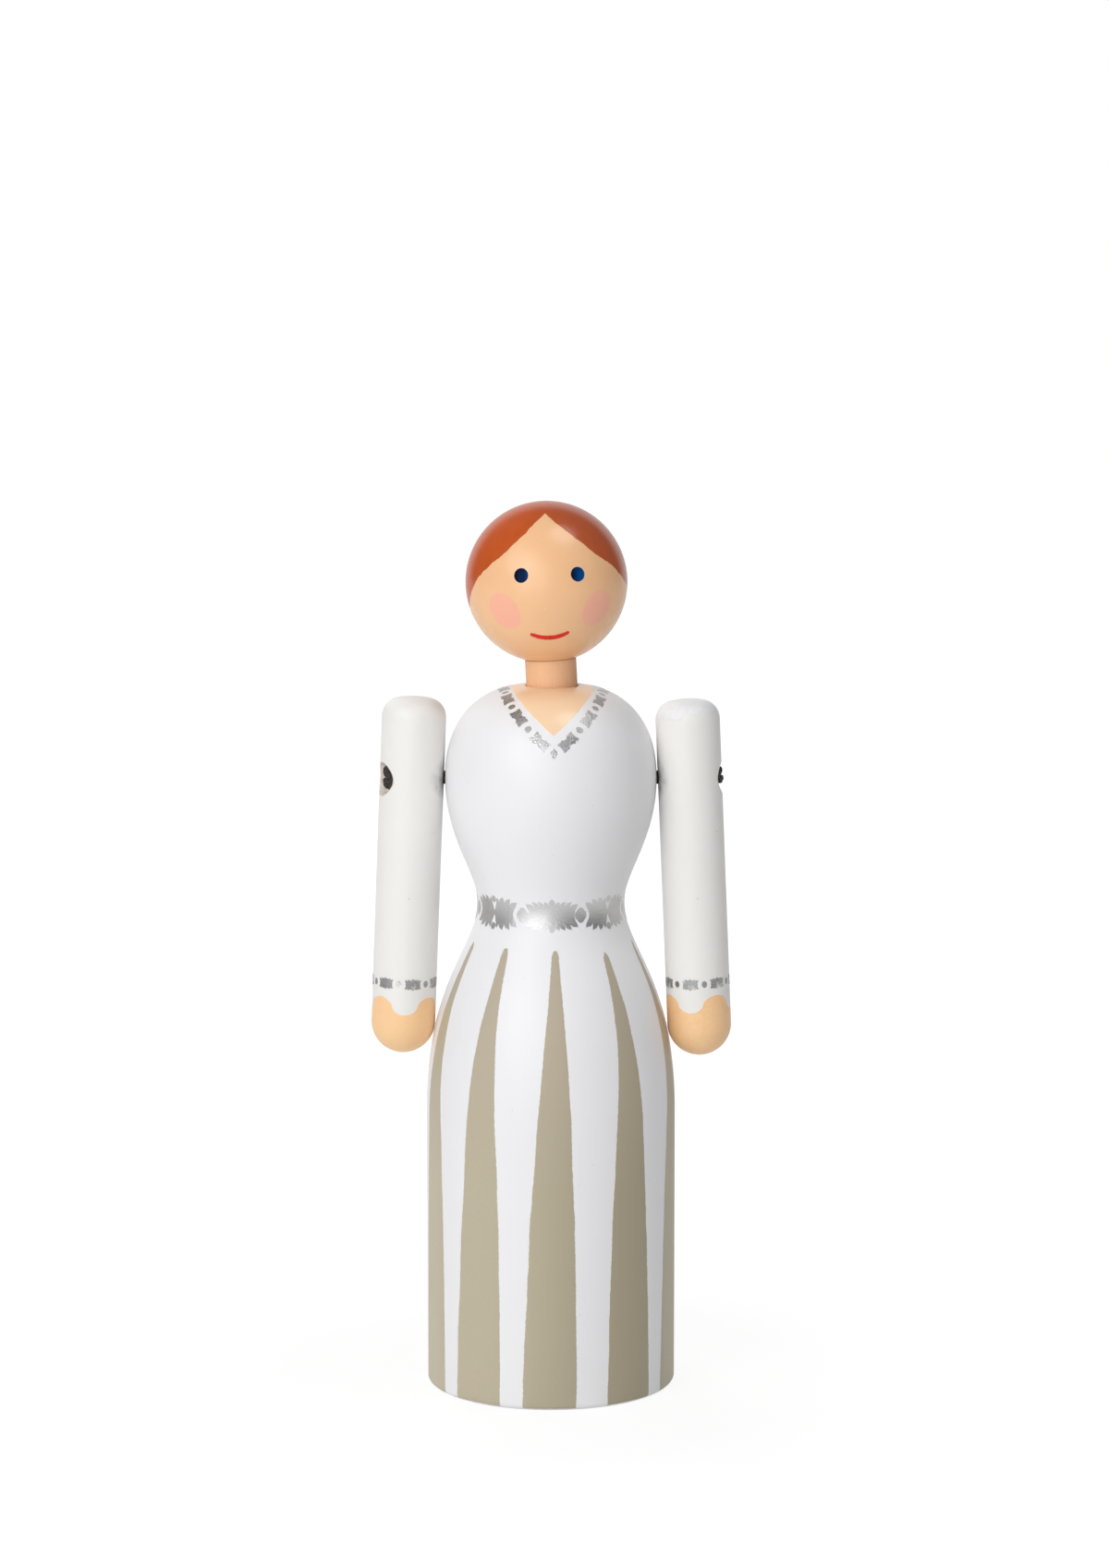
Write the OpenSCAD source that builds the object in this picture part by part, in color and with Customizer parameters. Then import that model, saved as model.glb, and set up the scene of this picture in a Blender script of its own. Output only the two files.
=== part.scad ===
// Turned and painted wooden doll with a turning head and two swinging arms.
// The arms hang on one elastic cord that runs through the bust from side to side.
// The doll stands on z = 0 and faces -Y, and its own right arm is at -X.

/* [Body] */
// Diameter of the skirt
skirt_d = 47.6; // [40:0.1:56]
// Height up to which the skirt runs straight
skirt_straight_h = 53; // [42:0.5:64]
// Radius of the skirt's bottom edge
base_edge_r = 1.2; // [0.4:0.1:3]
// Height above the straight stretch over which the skirt draws in to the waist
skirt_taper_h = 40.4; // [32:0.1:50]
// Diameter of the waist
waist_d = 28; // [24:0.1:34]
// Height from the waist to the bust's widest place, where the arms hang
bust_rise = 23.8; // [20:0.1:30]
// Diameter of the bust at its widest
bust_d = 40.2; // [36:0.1:46]
// Height of the dome from there to the flat round the neck
dome_rise = 17.6; // [15:0.1:22]

/* [Head and neck] */
// Diameter of the head
head_d = 30.6; // [26:0.1:34]
// Diameter of the neck dowel
neck_d = 9.7; // [8:0.1:12]
// Bare neck between the body and the lowest point of the head
neck_show = 4.3; // [2:0.1:8]
// Lean of the neck towards the doll's right, in degrees
neck_lean = 3; // [0:0.5:4]
// Sideways place of the neck hole
neck_shift = 0.2; // [0:0.1:0.6]
// Depth to which the dowel is glued into the head
head_socket_depth = 11; // [8:0.5:14]
// Diameter of the two drilled eyes
eye_d = 2.6; // [2:0.1:3.4]
// Depth of the eyes' straight wall
eye_depth = 0.9; // [0.5:0.1:1.5]

/* [Neck fit] */
// Running clearance round the neck dowel
neck_play = 0.08; // [0.05:0.01:0.1]
// Width of the bevel round the mouth of the neck hole
collar_bevel = 0.35; // [0.2:0.05:0.6]
// Wood left between the neck hole and the cord hole
neck_floor = 2.6; // [2:0.1:3.5]
// Clearance under the end of the neck dowel
neck_end_play = 0.3; // [0.2:0.05:0.5]
// Diameter of the pin that holds the neck in
pin_d = 2; // [1.5:0.1:2.4]
// Height of the pin above the floor of the neck hole
pin_rise = 5.2; // [4.5:0.1:6]
// Depth of the pin's groove in the dowel
groove_depth = 1.3; // [1:0.1:1.6]
// Clearance between the pin and its groove
pin_play = 0.15; // [0.1:0.05:0.25]
// Depth of the pin's outer end under the painted surface
pin_sunk = 1.5; // [1:0.1:2.5]

/* [Arms] */
// Diameter of the arms
arm_d = 12.2; // [10:0.1:13]
// Length of an arm
arm_l = 68.6; // [60:0.1:76]
// Distance from the arm's top to its cord hole
arm_top_l = 15.5; // [13:0.1:18]
// How much lower the doll's left arm hangs
left_arm_drop = 0.5; // [0:0.1:1]
// Radius of the arm's top edge
arm_top_r = 3.6; // [2:0.1:4.5]
// Gap between an arm and the body
arm_gap = 0.2; // [0.15:0.05:0.5]
// How far the right arm's cord hole runs askew to the front, in degrees
right_hole_askew = 11; // [0:1:12]
// How far the left arm's cord hole runs askew to the front, in degrees
left_hole_askew = 0; // [0:1:12]

/* [Cord] */
// Diameter of the elastic cord
cord_d = 2.6; // [2:0.1:3]
// Clearance round the cord in its holes
cord_play = 0.2; // [0.15:0.05:0.4]
// Diameter of the recess for the knot in the arm's outer side
recess_d = 6.3; // [5.5:0.1:7]
// Depth of the recess's straight wall
recess_depth = 3.2; // [2.4:0.1:4]
// Diameter of the knot
knot_d = 4.8; // [4:0.1:5]
// How far the knot stands out of the arm
knot_proud = 0.35; // [0:0.05:0.8]

/* [Hidden] */
$fn = 96;

// Paint, wood and cord colours
white_paint = [0.93, 0.93, 0.94];
skin_paint = [0.96, 0.78, 0.6];
bare_beech = [0.88, 0.68, 0.48];
black_rubber = [0.08, 0.08, 0.08];
bright_steel = [0.7, 0.7, 0.72];

// Extra length of every cut past the face that it opens
overrun = 1;
// Chamfer on the ends of the dowel and the pin
end_chamfer = 0.4;
// Curve steps between two stations of the body's outline
curve_steps = 18;
// Steps of a quarter round in an outline
round_steps = 10;

skirt_r = skirt_d / 2;
waist_r = waist_d / 2;
bust_r = bust_d / 2;
head_r = head_d / 2;
neck_r = neck_d / 2;
neck_hole_r = neck_r + neck_play;
pin_r = pin_d / 2;
arm_r = arm_d / 2;
cord_r = cord_d / 2;
cord_hole_r = cord_r + cord_play;
recess_r = recess_d / 2;

// Shares of each rise along which the body's outline leaves its stations upright
skirt_out_share = 0.633;
waist_in_share = 0.227;
waist_out_share = 0.242;
bust_in_share = 0.5;
bust_out_share = 0.82;
// Share of the shoulder's width over which the dome runs flat into the neck hole
dome_flat_share = 0.31;

// Point of a cubic curve with the end points a and d and the handles b and c
function curve(a, b, c, d, t) =
    pow(1 - t, 3) * a + 3 * t * pow(1 - t, 2) * b + 3 * t * t * (1 - t) * c + pow(t, 3) * d;
function curve_points(a, b, c, d) = [for (i = [0:curve_steps]) curve(a, b, c, d, i / curve_steps)];
// Points of a round of radius r about c, from angle a to angle b
function round_points(c, r, a, b) =
    [for (i = [0:round_steps]) let (t = a + (b - a) * i / round_steps) c + r * [cos(t), sin(t)]];
// The points of a list without its last one, which the next list repeats
function open_end(points) = [for (i = [0:len(points) - 2]) points[i]];

waist_h = skirt_straight_h + skirt_taper_h;
bust_h = waist_h + bust_rise;
body_h = bust_h + dome_rise;
dome_flat_r = neck_hole_r + collar_bevel + (bust_r - neck_hole_r) * dome_flat_share;

skirt_curve = curve_points([skirt_r, skirt_straight_h],
                           [skirt_r, skirt_straight_h + skirt_taper_h * skirt_out_share],
                           [waist_r, waist_h - skirt_taper_h * waist_in_share],
                           [waist_r, waist_h]);
bust_curve = curve_points([waist_r, waist_h],
                          [waist_r, waist_h + bust_rise * waist_out_share],
                          [bust_r, bust_h - bust_rise * bust_in_share],
                          [bust_r, bust_h]);
dome_curve = curve_points([bust_r, bust_h],
                          [bust_r, bust_h + dome_rise * bust_out_share],
                          [dome_flat_r, body_h],
                          [neck_hole_r + collar_bevel, body_h]);
// Turned outline of the body, from the rim of the base to the neck hole
body_side = concat(round_points([skirt_r - base_edge_r, base_edge_r], base_edge_r, -90, 0),
                   open_end(skirt_curve), open_end(bust_curve), dome_curve);
body_outline = concat([[0, 0]], body_side, [[0, body_h]]);

// Neck hole and dowel, measured along the leaning neck from the collar
neck_hole_depth = dome_rise - cord_hole_r - neck_floor;
dowel_low = neck_end_play - neck_hole_depth;
dowel_top = neck_show + head_socket_depth;
pin_z = pin_rise - neck_hole_depth;
groove_r = neck_r - groove_depth;
pin_x = groove_r + pin_play + pin_r;
// Depth of the pin's inner end past the middle of the dowel
pin_reach = neck_r;
// The pin ends under the painted back, where the body has this radius
back_r = lookup(body_h + pin_z, [for (p = body_side) if (p.y >= bust_h) [p.y, p.x]]);
pin_back = sqrt(pow(back_r, 2) - pow(pin_x + neck_shift, 2)) - pin_sunk;

// Places of the eyes on the head, as turn to the doll's left and rise, in degrees
right_eye = [-17.6, 9.9];
left_eye = [23.2, 8.6];
// Angle of the drill's tip
drill_tip_angle = 118;
function tip_depth(r) = r / tan(drill_tip_angle / 2);

// The arm hangs with its middle this far from the body's middle
arm_x = bust_r + arm_gap + arm_r;
// Distance along the arm from its cord hole to the middle of the round hand
function hand_l(drop) = arm_l - (arm_top_l - drop) - arm_r;

// The arm leans out until it clears a point of the body by the arm gap. The reach is the arm's
// radius with that gap, and l is the length of the straight part below the cord hole.
reach = arm_r + arm_gap;
function slant(p) = atan2(p.x - arm_x, bust_h - p.y);
function span(p) = norm([p.x - arm_x, bust_h - p.y]);
function lean_past(p, l) =
    span(p) * cos(asin(min(1, reach / span(p)))) <= l
    ? slant(p) + asin(min(1, reach / span(p)))
    : (span(p) < l + reach
       ? slant(p) + acos((pow(span(p), 2) + l * l - reach * reach) / (2 * span(p) * l))
       : 0);
function arm_lean(l) = max([for (p = body_side) if (p.y < bust_h - arm_r) lean_past(p, l)]);
right_lean = arm_lean(hand_l(0));
left_lean = arm_lean(hand_l(left_arm_drop));

// The cord passes the arm's inner side here
arm_face_x = arm_x - arm_r;
// The cord of the body reaches this far into the arm's hole
cord_reach = 0.4;
// Space between the cord of the body and the cord's knotted end
cord_joint_gap = 0.1;

// Frame of the leaning neck, at the collar
module neck_frame() {
    translate([neck_shift, 0, body_h]) rotate([0, -neck_lean, 0]) children();
}

// Frame of a cord hole in an arm, from the arm's inner side along the hole
module cord_hole_frame(side, askew) {
    translate([side * arm_face_x, 0, bust_h])
        rotate([0, 0, side > 0 ? -askew : 180 + askew])
            rotate([0, 90, 0]) children();
}

// Round bar along Z with a chamfer at both ends
module chamfered_bar(r, low, top) {
    rotate_extrude() polygon([[0, low], [r - end_chamfer, low], [r, low + end_chamfer],
                              [r, top - end_chamfer], [r - end_chamfer, top], [0, top]]);
}

// Bust and skirt, turned from one piece
module body() {
    color(white_paint) difference() {
        rotate_extrude() polygon(body_outline);
        neck_frame() translate([0, 0, -neck_hole_depth])
            cylinder(h = neck_hole_depth + overrun, r = neck_hole_r);
        translate([neck_shift, 0, body_h - 2 * collar_bevel])
            cylinder(h = 2 * collar_bevel + overrun,
                     r1 = neck_hole_r - collar_bevel, r2 = neck_hole_r + collar_bevel + overrun);
        translate([-bust_r - overrun, 0, bust_h]) rotate([0, 90, 0])
            cylinder(h = bust_d + 2 * overrun, r = cord_hole_r);
        neck_frame() pin_place() cylinder(h = pin_back + pin_reach, r = pin_r);
    }
}

// Frame of the pin in the neck's frame: it lies front to back beside the dowel's middle
module pin_place() {
    translate([pin_x, pin_back, pin_z]) rotate([90, 0, 0]) children();
}

// Pin across the groove of the dowel, set in from the back and painted over
module neck_pin() {
    color(bright_steel) neck_frame() pin_place() chamfered_bar(pin_r, 0, pin_back + pin_reach);
}

// Neck dowel with the groove that the pin runs in
module neck_dowel() {
    color(bare_beech) neck_frame() difference() {
        chamfered_bar(neck_r, dowel_low, dowel_top);
        translate([0, 0, pin_z - pin_r - pin_play]) difference() {
            cylinder(h = pin_d + 2 * pin_play, r = neck_r + overrun);
            translate([0, 0, -overrun]) cylinder(h = pin_d + 2 * pin_play + 2 * overrun, r = groove_r);
        }
    }
}

// One drilled eye
module eye_hole(place) {
    rotate([0, 0, place[0]]) rotate([90 - place[1], 0, 0]) translate([0, 0, head_r - eye_depth]) {
        cylinder(h = eye_depth + overrun, d = eye_d);
        translate([0, 0, -tip_depth(eye_d / 2)]) cylinder(h = tip_depth(eye_d / 2), r1 = 0, r2 = eye_d / 2);
    }
}

// Ball head with its socket for the dowel and the two drilled eyes
module head() {
    color(skin_paint) neck_frame() translate([0, 0, neck_show + head_r]) difference() {
        sphere(r = head_r);
        translate([0, 0, -head_r - overrun]) cylinder(h = head_socket_depth + overrun, r = neck_r);
        eye_hole(right_eye);
        eye_hole(left_eye);
    }
}

// Angle at which the arm's top edge runs over into its low crown
crown_angle = 78;
crown_r = (arm_r - arm_top_r * (1 - cos(crown_angle))) / cos(crown_angle);

// Turned arm about its cord hole: round hand below, edge round and low crown above
module arm_blank(drop) {
    top_z = arm_top_l - drop;
    edge_z = top_z - crown_r * (1 - sin(crown_angle)) - arm_top_r * sin(crown_angle);
    crown_z = top_z - crown_r;
    rotate_extrude() polygon(concat(
        round_points([0, -hand_l(drop)], arm_r, -90, 0),
        round_points([arm_r - arm_top_r, edge_z], arm_top_r, 0, crown_angle),
        open_end(round_points([0, crown_z], crown_r, crown_angle, 90)),
        [[0, top_z]]));
}

// Length of an arm's cord hole along its middle
function hole_run(askew) = arm_d * cos(askew);

// Arm with its cord hole and the recess for the knot
module arm(side, askew, lean, drop) {
    color(white_paint) difference() {
        translate([side * arm_x, 0, bust_h]) rotate([0, -side * lean, 0]) arm_blank(drop);
        cord_hole_frame(side, askew) {
            translate([0, 0, -overrun]) cylinder(h = arm_d + 2 * overrun, r = cord_hole_r);
            translate([0, 0, hole_run(askew) - recess_depth]) {
                cylinder(h = recess_depth + overrun, r = recess_r);
                translate([0, 0, -tip_depth(recess_r)])
                    cylinder(h = tip_depth(recess_r), r1 = 0, r2 = recess_r);
            }
        }
    }
}

module right_arm() {
    arm(-1, right_hole_askew, right_lean, 0);
}

module left_arm() {
    arm(1, left_hole_askew, left_lean, left_arm_drop);
}

// Elastic cord through the bust, from arm to arm
module arm_cord() {
    color(black_rubber) translate([-arm_face_x - cord_reach, 0, bust_h]) rotate([0, 90, 0])
        cylinder(h = 2 * (arm_face_x + cord_reach), r = cord_r);
}

// Share of the cord's thickness that is left where the knot pulls it tight
knot_thin_share = 0.8;
knot_cord_r = cord_r * knot_thin_share;
// Radius at which the turn of the knot lies round the cord
knot_turn_r = knot_d / 2 - knot_cord_r;

// Cord end in the arm: a stub through the hole, the knot's turn round it and the cut tail in front
module cord_knot(side, askew) {
    low = cord_reach + cord_joint_gap + cord_r * sin(askew);
    top = hole_run(askew) + knot_proud;
    turn_z = top - knot_proud - 2 * knot_cord_r;
    color(black_rubber) cord_hole_frame(side, askew) {
        translate([0, 0, low]) cylinder(h = turn_z - low, r = cord_r);
        translate([0, 0, turn_z]) {
            rotate_extrude() translate([knot_turn_r, 0]) circle(r = knot_cord_r);
            sphere(r = cord_r);
        }
        translate([0, 0, turn_z]) rotate([-atan2(knot_turn_r, top - turn_z), 0, 0]) {
            cylinder(h = top - turn_z - knot_proud, r = knot_cord_r);
            translate([0, 0, top - turn_z - knot_proud]) sphere(r = knot_cord_r);
        }
    }
}

module right_cord_knot() {
    cord_knot(-1, right_hole_askew);
}

module left_cord_knot() {
    cord_knot(1, left_hole_askew);
}

body();
head();
neck_dowel();
neck_pin();
arm_cord();
right_arm();
left_arm();
right_cord_knot();
left_cord_knot();
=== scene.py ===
"""Turned and painted wooden doll: the looks of each piece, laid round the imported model."""

import math

import bpy
from mathutils import Matrix, Vector
from mathutils.geometry import delaunay_2d_cdt


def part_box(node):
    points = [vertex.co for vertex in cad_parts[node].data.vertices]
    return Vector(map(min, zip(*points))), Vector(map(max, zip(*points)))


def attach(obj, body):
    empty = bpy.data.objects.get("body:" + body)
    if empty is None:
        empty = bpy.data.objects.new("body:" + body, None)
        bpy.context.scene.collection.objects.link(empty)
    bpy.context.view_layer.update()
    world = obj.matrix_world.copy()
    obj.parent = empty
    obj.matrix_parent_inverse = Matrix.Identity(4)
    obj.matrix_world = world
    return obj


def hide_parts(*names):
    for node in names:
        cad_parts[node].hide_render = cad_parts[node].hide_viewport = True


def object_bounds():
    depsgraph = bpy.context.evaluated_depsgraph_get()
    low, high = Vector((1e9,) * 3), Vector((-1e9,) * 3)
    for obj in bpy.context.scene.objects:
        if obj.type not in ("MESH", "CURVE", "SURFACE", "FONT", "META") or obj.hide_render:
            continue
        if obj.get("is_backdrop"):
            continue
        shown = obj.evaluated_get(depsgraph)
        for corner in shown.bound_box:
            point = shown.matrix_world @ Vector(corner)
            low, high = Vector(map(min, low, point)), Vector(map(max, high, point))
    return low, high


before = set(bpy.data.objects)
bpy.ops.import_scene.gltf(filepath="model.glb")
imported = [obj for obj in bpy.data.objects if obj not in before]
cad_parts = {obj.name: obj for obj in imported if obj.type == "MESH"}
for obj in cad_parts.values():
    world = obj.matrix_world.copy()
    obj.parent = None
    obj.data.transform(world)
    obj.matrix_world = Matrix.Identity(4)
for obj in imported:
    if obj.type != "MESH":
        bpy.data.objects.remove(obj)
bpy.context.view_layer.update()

# The studio.
# The camera stands 0.78 m in front of the doll and looks slightly down on it. Floor and backdrop
# are one white sweep, on which only the doll's own faint shadow shows.
MM = 0.001
CAMERA_PLACE = (0.69 * MM, -784.5 * MM, 220.1 * MM)
CAMERA_DIP = math.radians(7.568)
camera_data = bpy.data.cameras.new("camera")
camera_data.sensor_width = 36
camera_data.lens = 95.62
camera_data.clip_start = 0.01
camera = bpy.data.objects.new("camera", camera_data)
camera.location = CAMERA_PLACE
camera.rotation_euler = (math.pi / 2 - CAMERA_DIP, 0, 0)
bpy.context.scene.collection.objects.link(camera)
bpy.context.scene.camera = camera
bpy.context.scene.view_settings.view_transform = "Standard"


class Wire:
    """One output of a node. Arithmetic on it adds Math nodes to its tree."""

    def __init__(self, nodes, socket):
        self.nodes = nodes
        self.socket = socket

    def math(self, operation, *others, clamp=False):
        settings = {"operation": operation, "use_clamp": clamp}
        return self.nodes.add("ShaderNodeMath", settings, dict(enumerate((self, *others))))

    def clamped(self):
        """The same number, held between 0 and 1."""
        return self.math("ADD", 0, clamp=True)

    def __abs__(self):
        return self.math("ABSOLUTE")

    def __neg__(self):
        return self.math("MULTIPLY", -1)


def operator(operation, reflected):
    def method(self, other):
        terms = (other, self) if reflected else (self, other)
        return self.nodes.add("ShaderNodeMath", {"operation": operation}, dict(enumerate(terms)))
    return method


for sign, operation in {"add": "ADD", "sub": "SUBTRACT", "mul": "MULTIPLY",
                        "truediv": "DIVIDE", "pow": "POWER"}.items():
    setattr(Wire, f"__{sign}__", operator(operation, False))
    setattr(Wire, f"__r{sign}__", operator(operation, True))


class Nodes:
    """Builds one node tree. add() makes any node: its settings first, then its sockets."""

    def __init__(self, tree):
        self.tree = tree

    def add(self, kind, settings=None, sockets=None, output=0):
        node = self.tree.nodes.new(kind)
        for name, value in (settings or {}).items():
            if name == "points":
                self.set_points(node.mapping, value)
            else:
                setattr(node, name, value)
        self.feed(node, sockets or {})
        return Wire(self, node.outputs[output])

    def feed(self, node, sockets):
        for name, value in sockets.items():
            for one in value if isinstance(value, list) else [value]:
                if isinstance(one, Wire):
                    self.tree.links.new(one.socket, node.inputs[name])
                else:
                    node.inputs[name].default_value = one

    def set_points(self, mapping, points):
        curve = mapping.curves[0].points
        while len(curve) < len(points):
            curve.new(1, 1)
        for point, (place, height, handle) in zip(curve, points):
            point.location = (place, height)
            point.handle_type = handle
        mapping.update()

    def split(self, vector):
        node = self.add("ShaderNodeSeparateXYZ", {}, {"Vector": vector}).socket.node
        return [Wire(self, socket) for socket in node.outputs]

    def join(self, x, y, z):
        return self.add("ShaderNodeCombineXYZ", {}, {"X": x, "Y": y, "Z": z})

    def vector(self, operation, *terms, output=0):
        return self.add("ShaderNodeVectorMath", {"operation": operation}, dict(enumerate(terms)), output)

    def scaled(self, vector, factor):
        return self.add("ShaderNodeVectorMath", {"operation": "SCALE"},
                        {"Vector": vector, "Scale": factor})

    def mix(self, share, first, second):
        """Colour between first and second."""
        return self.add("ShaderNodeMix", {"data_type": "RGBA"}, {0: share, 6: first, 7: second}, output=2)

    def noise(self, place, grain, detail=2.0, stretch=(1, 1, 1)):
        """Noise from 0 to 1 with features of about the size of grain, in millimetres."""
        place = self.vector("MULTIPLY", place, stretch)
        return self.add("ShaderNodeTexNoise", {}, {"Vector": place, "Scale": 1 / grain, "Detail": detail})

    def millimetres(self, centre=(0, 0, 0), lean=0.0):
        """Place on the piece in millimetres, from a centre and along axes that lean about Y."""
        place = self.add("ShaderNodeTexCoord", output="Object")
        return self.add("ShaderNodeMapping", {"vector_type": "TEXTURE"},
                        {"Vector": place, "Location": centre, "Rotation": (0, lean, 0),
                         "Scale": (MM, MM, MM)})


def edge(inside, softness):
    """Mask that is 1 where a distance to a painted edge, in millimetres, is positive."""
    return (inside / softness + 0.5).clamped()


def colour(red, green, blue):
    """Linear colour of an 8-bit one."""
    def linear(share):
        return share / 12.92 if share <= 0.04045 else ((share + 0.055) / 1.055) ** 2.4
    return (*[linear(part / 255) for part in (red, green, blue)], 1)


def grey(level):
    """Linear grey."""
    return (level, level, level, 1)


def new_material(name):
    material = bpy.data.materials.new(name)
    material.use_nodes = True
    nodes = Nodes(material.node_tree)
    return material, nodes, material.node_tree.nodes["Principled BSDF"]


SWEEP_SIZE = 6.0
SWEEP_GLOW = 0.895
SWEEP_FAR_GLOW = 1.0
SWEEP_GLOSS = 0.78
SWEEP_NEAR = 0.1
SWEEP_SHADE = 0.12
SWEEP_BOUNCE = 0.8


def ray_kinds(nodes):
    """Whether a ray is one of the camera, of gloss or of glass."""
    path = nodes.add("ShaderNodeLightPath").socket.node
    return [Wire(nodes, path.outputs[name])
            for name in ("Is Camera Ray", "Is Glossy Ray", "Is Transmission Ray")]


def make_floor():
    half = SWEEP_SIZE / 2
    mesh = bpy.data.meshes.new("floor")
    mesh.from_pydata([(-half, -half, 0), (half, -half, 0), (half, half, 0), (-half, half, 0)],
                     [], [(0, 1, 2, 3)])
    floor = bpy.data.objects.new("floor", mesh)
    bpy.context.scene.collection.objects.link(floor)
    material, nodes, shader = new_material("white_sweep")
    away = nodes.vector("LENGTH", nodes.add("ShaderNodeTexCoord", output="Object"), output="Value")
    far = (away / SWEEP_NEAR - 0.5).clamped()
    camera_ray, gloss_ray, glass_ray = ray_kinds(nodes)
    far_glow = nodes.mix(gloss_ray, grey(SWEEP_FAR_GLOW), grey(SWEEP_GLOSS))
    nodes.feed(shader, {"Base Color": grey(SWEEP_SHADE), "Roughness": 1.0, "Specular IOR Level": 0.0,
                        "Emission Color": nodes.mix(far, grey(SWEEP_GLOW), far_glow),
                        "Emission Strength": 1.0})
    plain = nodes.add("ShaderNodeBsdfDiffuse", {}, {"Color": grey(SWEEP_BOUNCE)})
    shown = Wire(nodes, shader.outputs[0])
    seen = camera_ray.math("MAXIMUM", gloss_ray).math("MAXIMUM", glass_ray)
    both = nodes.add("ShaderNodeMixShader", {}, {0: seen, 1: plain, 2: shown})
    nodes.feed(material.node_tree.nodes["Material Output"], {"Surface": both})
    mesh.materials.append(material)
    floor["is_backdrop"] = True


make_floor()

# The body.
# Bust and skirt are turned from one piece of beech and stand on their flat end. The wood is painted
# white, with ten beige stripes drawn down the skirt by hand and a bare neckline of skin colour.
SKIRT_R = 23.8
SKIRT_STRAIGHT = 53.0
SKIRT_TAPER = 40.4
BASE_EDGE_R = 1.2
WAIST_R = 14.0
WAIST_Z = SKIRT_STRAIGHT + SKIRT_TAPER
BUST_RISE = 23.8
BUST_R = 20.1
BUST_Z = WAIST_Z + BUST_RISE
DOME_RISE = 17.6
BODY_TOP = BUST_Z + DOME_RISE
# Shares of each rise along which the outline leaves its stations upright, and of the shoulder's width
# over which the dome runs flat into the neck hole
SKIRT_OUT_SHARE = 0.633
WAIST_IN_SHARE = 0.227
WAIST_OUT_SHARE = 0.242
BUST_IN_SHARE = 0.5
BUST_OUT_SHARE = 0.82
DOME_FLAT_SHARE = 0.31
NECK_R = 4.85
NECK_HOLE_R = 4.93
COLLAR_BEVEL = 0.35
NECK_HOLE_DEPTH = 13.5
NECK_SHIFT = 0.2
NECK_LEAN = math.radians(3)
CORD_HOLE_R = 1.5
PAST = 1.0


def curve_points(a, b, c, d, count):
    """Points of the cubic curve with ends a and d and handles b and c, without the last one."""
    shares = [i / count for i in range(count)]
    return [tuple((1 - t) ** 3 * p + 3 * t * (1 - t) ** 2 * q + 3 * t * t * (1 - t) * r + t ** 3 * s
                  for p, q, r, s in zip(a, b, c, d)) for t in shares]


def line_points(a, b, count):
    return [(a[0] + (b[0] - a[0]) * i / count, a[1] + (b[1] - a[1]) * i / count) for i in range(count)]


def round_points(centre, radius, start, end, count):
    """Points of a round from one angle to another, in degrees, without the last one."""
    angles = [math.radians(start + (end - start) * i / count) for i in range(count)]
    return [(centre[0] + radius * math.cos(a), centre[1] + radius * math.sin(a)) for a in angles]


def new_tree(name, made, inputs):
    """Nodes of a new geometry tree that makes one thing, and a wire from each of its named inputs."""
    tree = bpy.data.node_groups.new(name, "GeometryNodeTree")
    for label, kind in inputs.items():
        tree.interface.new_socket(label, in_out="INPUT", socket_type=f"NodeSocket{kind}")
    tree.interface.new_socket(made, in_out="OUTPUT", socket_type="NodeSocketGeometry")
    nodes = Nodes(tree)
    entry = nodes.add("NodeGroupInput").socket.node
    return nodes, *[Wire(nodes, entry.outputs[label]) for label in inputs]


def end_tree(nodes, made, material=None):
    """The finished tree. With a material, what it makes is turned into plain faces that carry it."""
    if material:
        made = nodes.add("GeometryNodeRealizeInstances", {}, {"Geometry": made})
        made = nodes.add("GeometryNodeSetMaterial", {}, {"Geometry": made, "Material": material})
    nodes.feed(nodes.tree.nodes.new("NodeGroupOutput"), {0: made})
    return nodes.tree


def turning_tree():
    """Turns an outline, points (r, 0, z) from the foot to the top, into a closed round body."""
    nodes, outline, around, material = new_tree(
        "turned_outline", "Turned", {"Outline": "Geometry", "Around": "Int", "Material": "Material"})
    count = nodes.add("GeometryNodeAttributeDomainSize", {}, {"Geometry": outline})
    grid = nodes.add("GeometryNodeMeshGrid", {},
                     {"Size X": 1.0, "Size Y": 1.0, "Vertices X": around + 1, "Vertices Y": count})
    here = nodes.add("GeometryNodeInputPosition")
    across, up, _ = nodes.split(here)
    row = ((up + 0.5) * (count - 1)).math("ROUND")
    spot = nodes.add("GeometryNodeSampleIndex", {"data_type": "FLOAT_VECTOR"},
                     {"Geometry": outline, "Value": here, "Index": row})
    radius, _, height = nodes.split(spot)
    angle = (across + 0.5) * (2 * math.pi)
    place = nodes.join(radius * angle.math("COSINE"), radius * angle.math("SINE"), height)
    turned = nodes.add("GeometryNodeSetPosition", {}, {"Geometry": grid, "Position": place})
    turned = nodes.add("GeometryNodeMergeByDistance", {}, {"Geometry": turned, "Distance": 1e-6})
    return end_tree(nodes, turned, material)


def run_tree(name, mesh, tree, values):
    """Object whose plain mesh is what a tree makes of a mesh."""
    piece = bpy.data.objects.new(name, mesh)
    bpy.context.scene.collection.objects.link(piece)
    modifier = piece.modifiers.new(tree.name, "NODES")
    modifier.node_group = tree
    for item in tree.interface.items_tree:
        if item.in_out == "INPUT" and item.name in values:
            modifier[item.identifier] = values[item.name]
    made = bpy.data.meshes.new_from_object(piece.evaluated_get(bpy.context.evaluated_depsgraph_get()))
    piece.modifiers.clear()
    piece.data = made
    made.name = name
    return piece


def turn(name, outline, place=Matrix(), around=192):
    """Turned blank from an outline of (radius, height) in millimetres, set at its place in metres."""
    mesh = bpy.data.meshes.new(name)
    mesh.from_pydata([(r * MM, 0, z * MM) for r, z in outline],
                     [(i, i + 1) for i in range(len(outline) - 1)], [])
    piece = run_tree(name, mesh, turn_tree, {"Around": around})
    piece.data.transform(place)
    return piece


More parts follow.
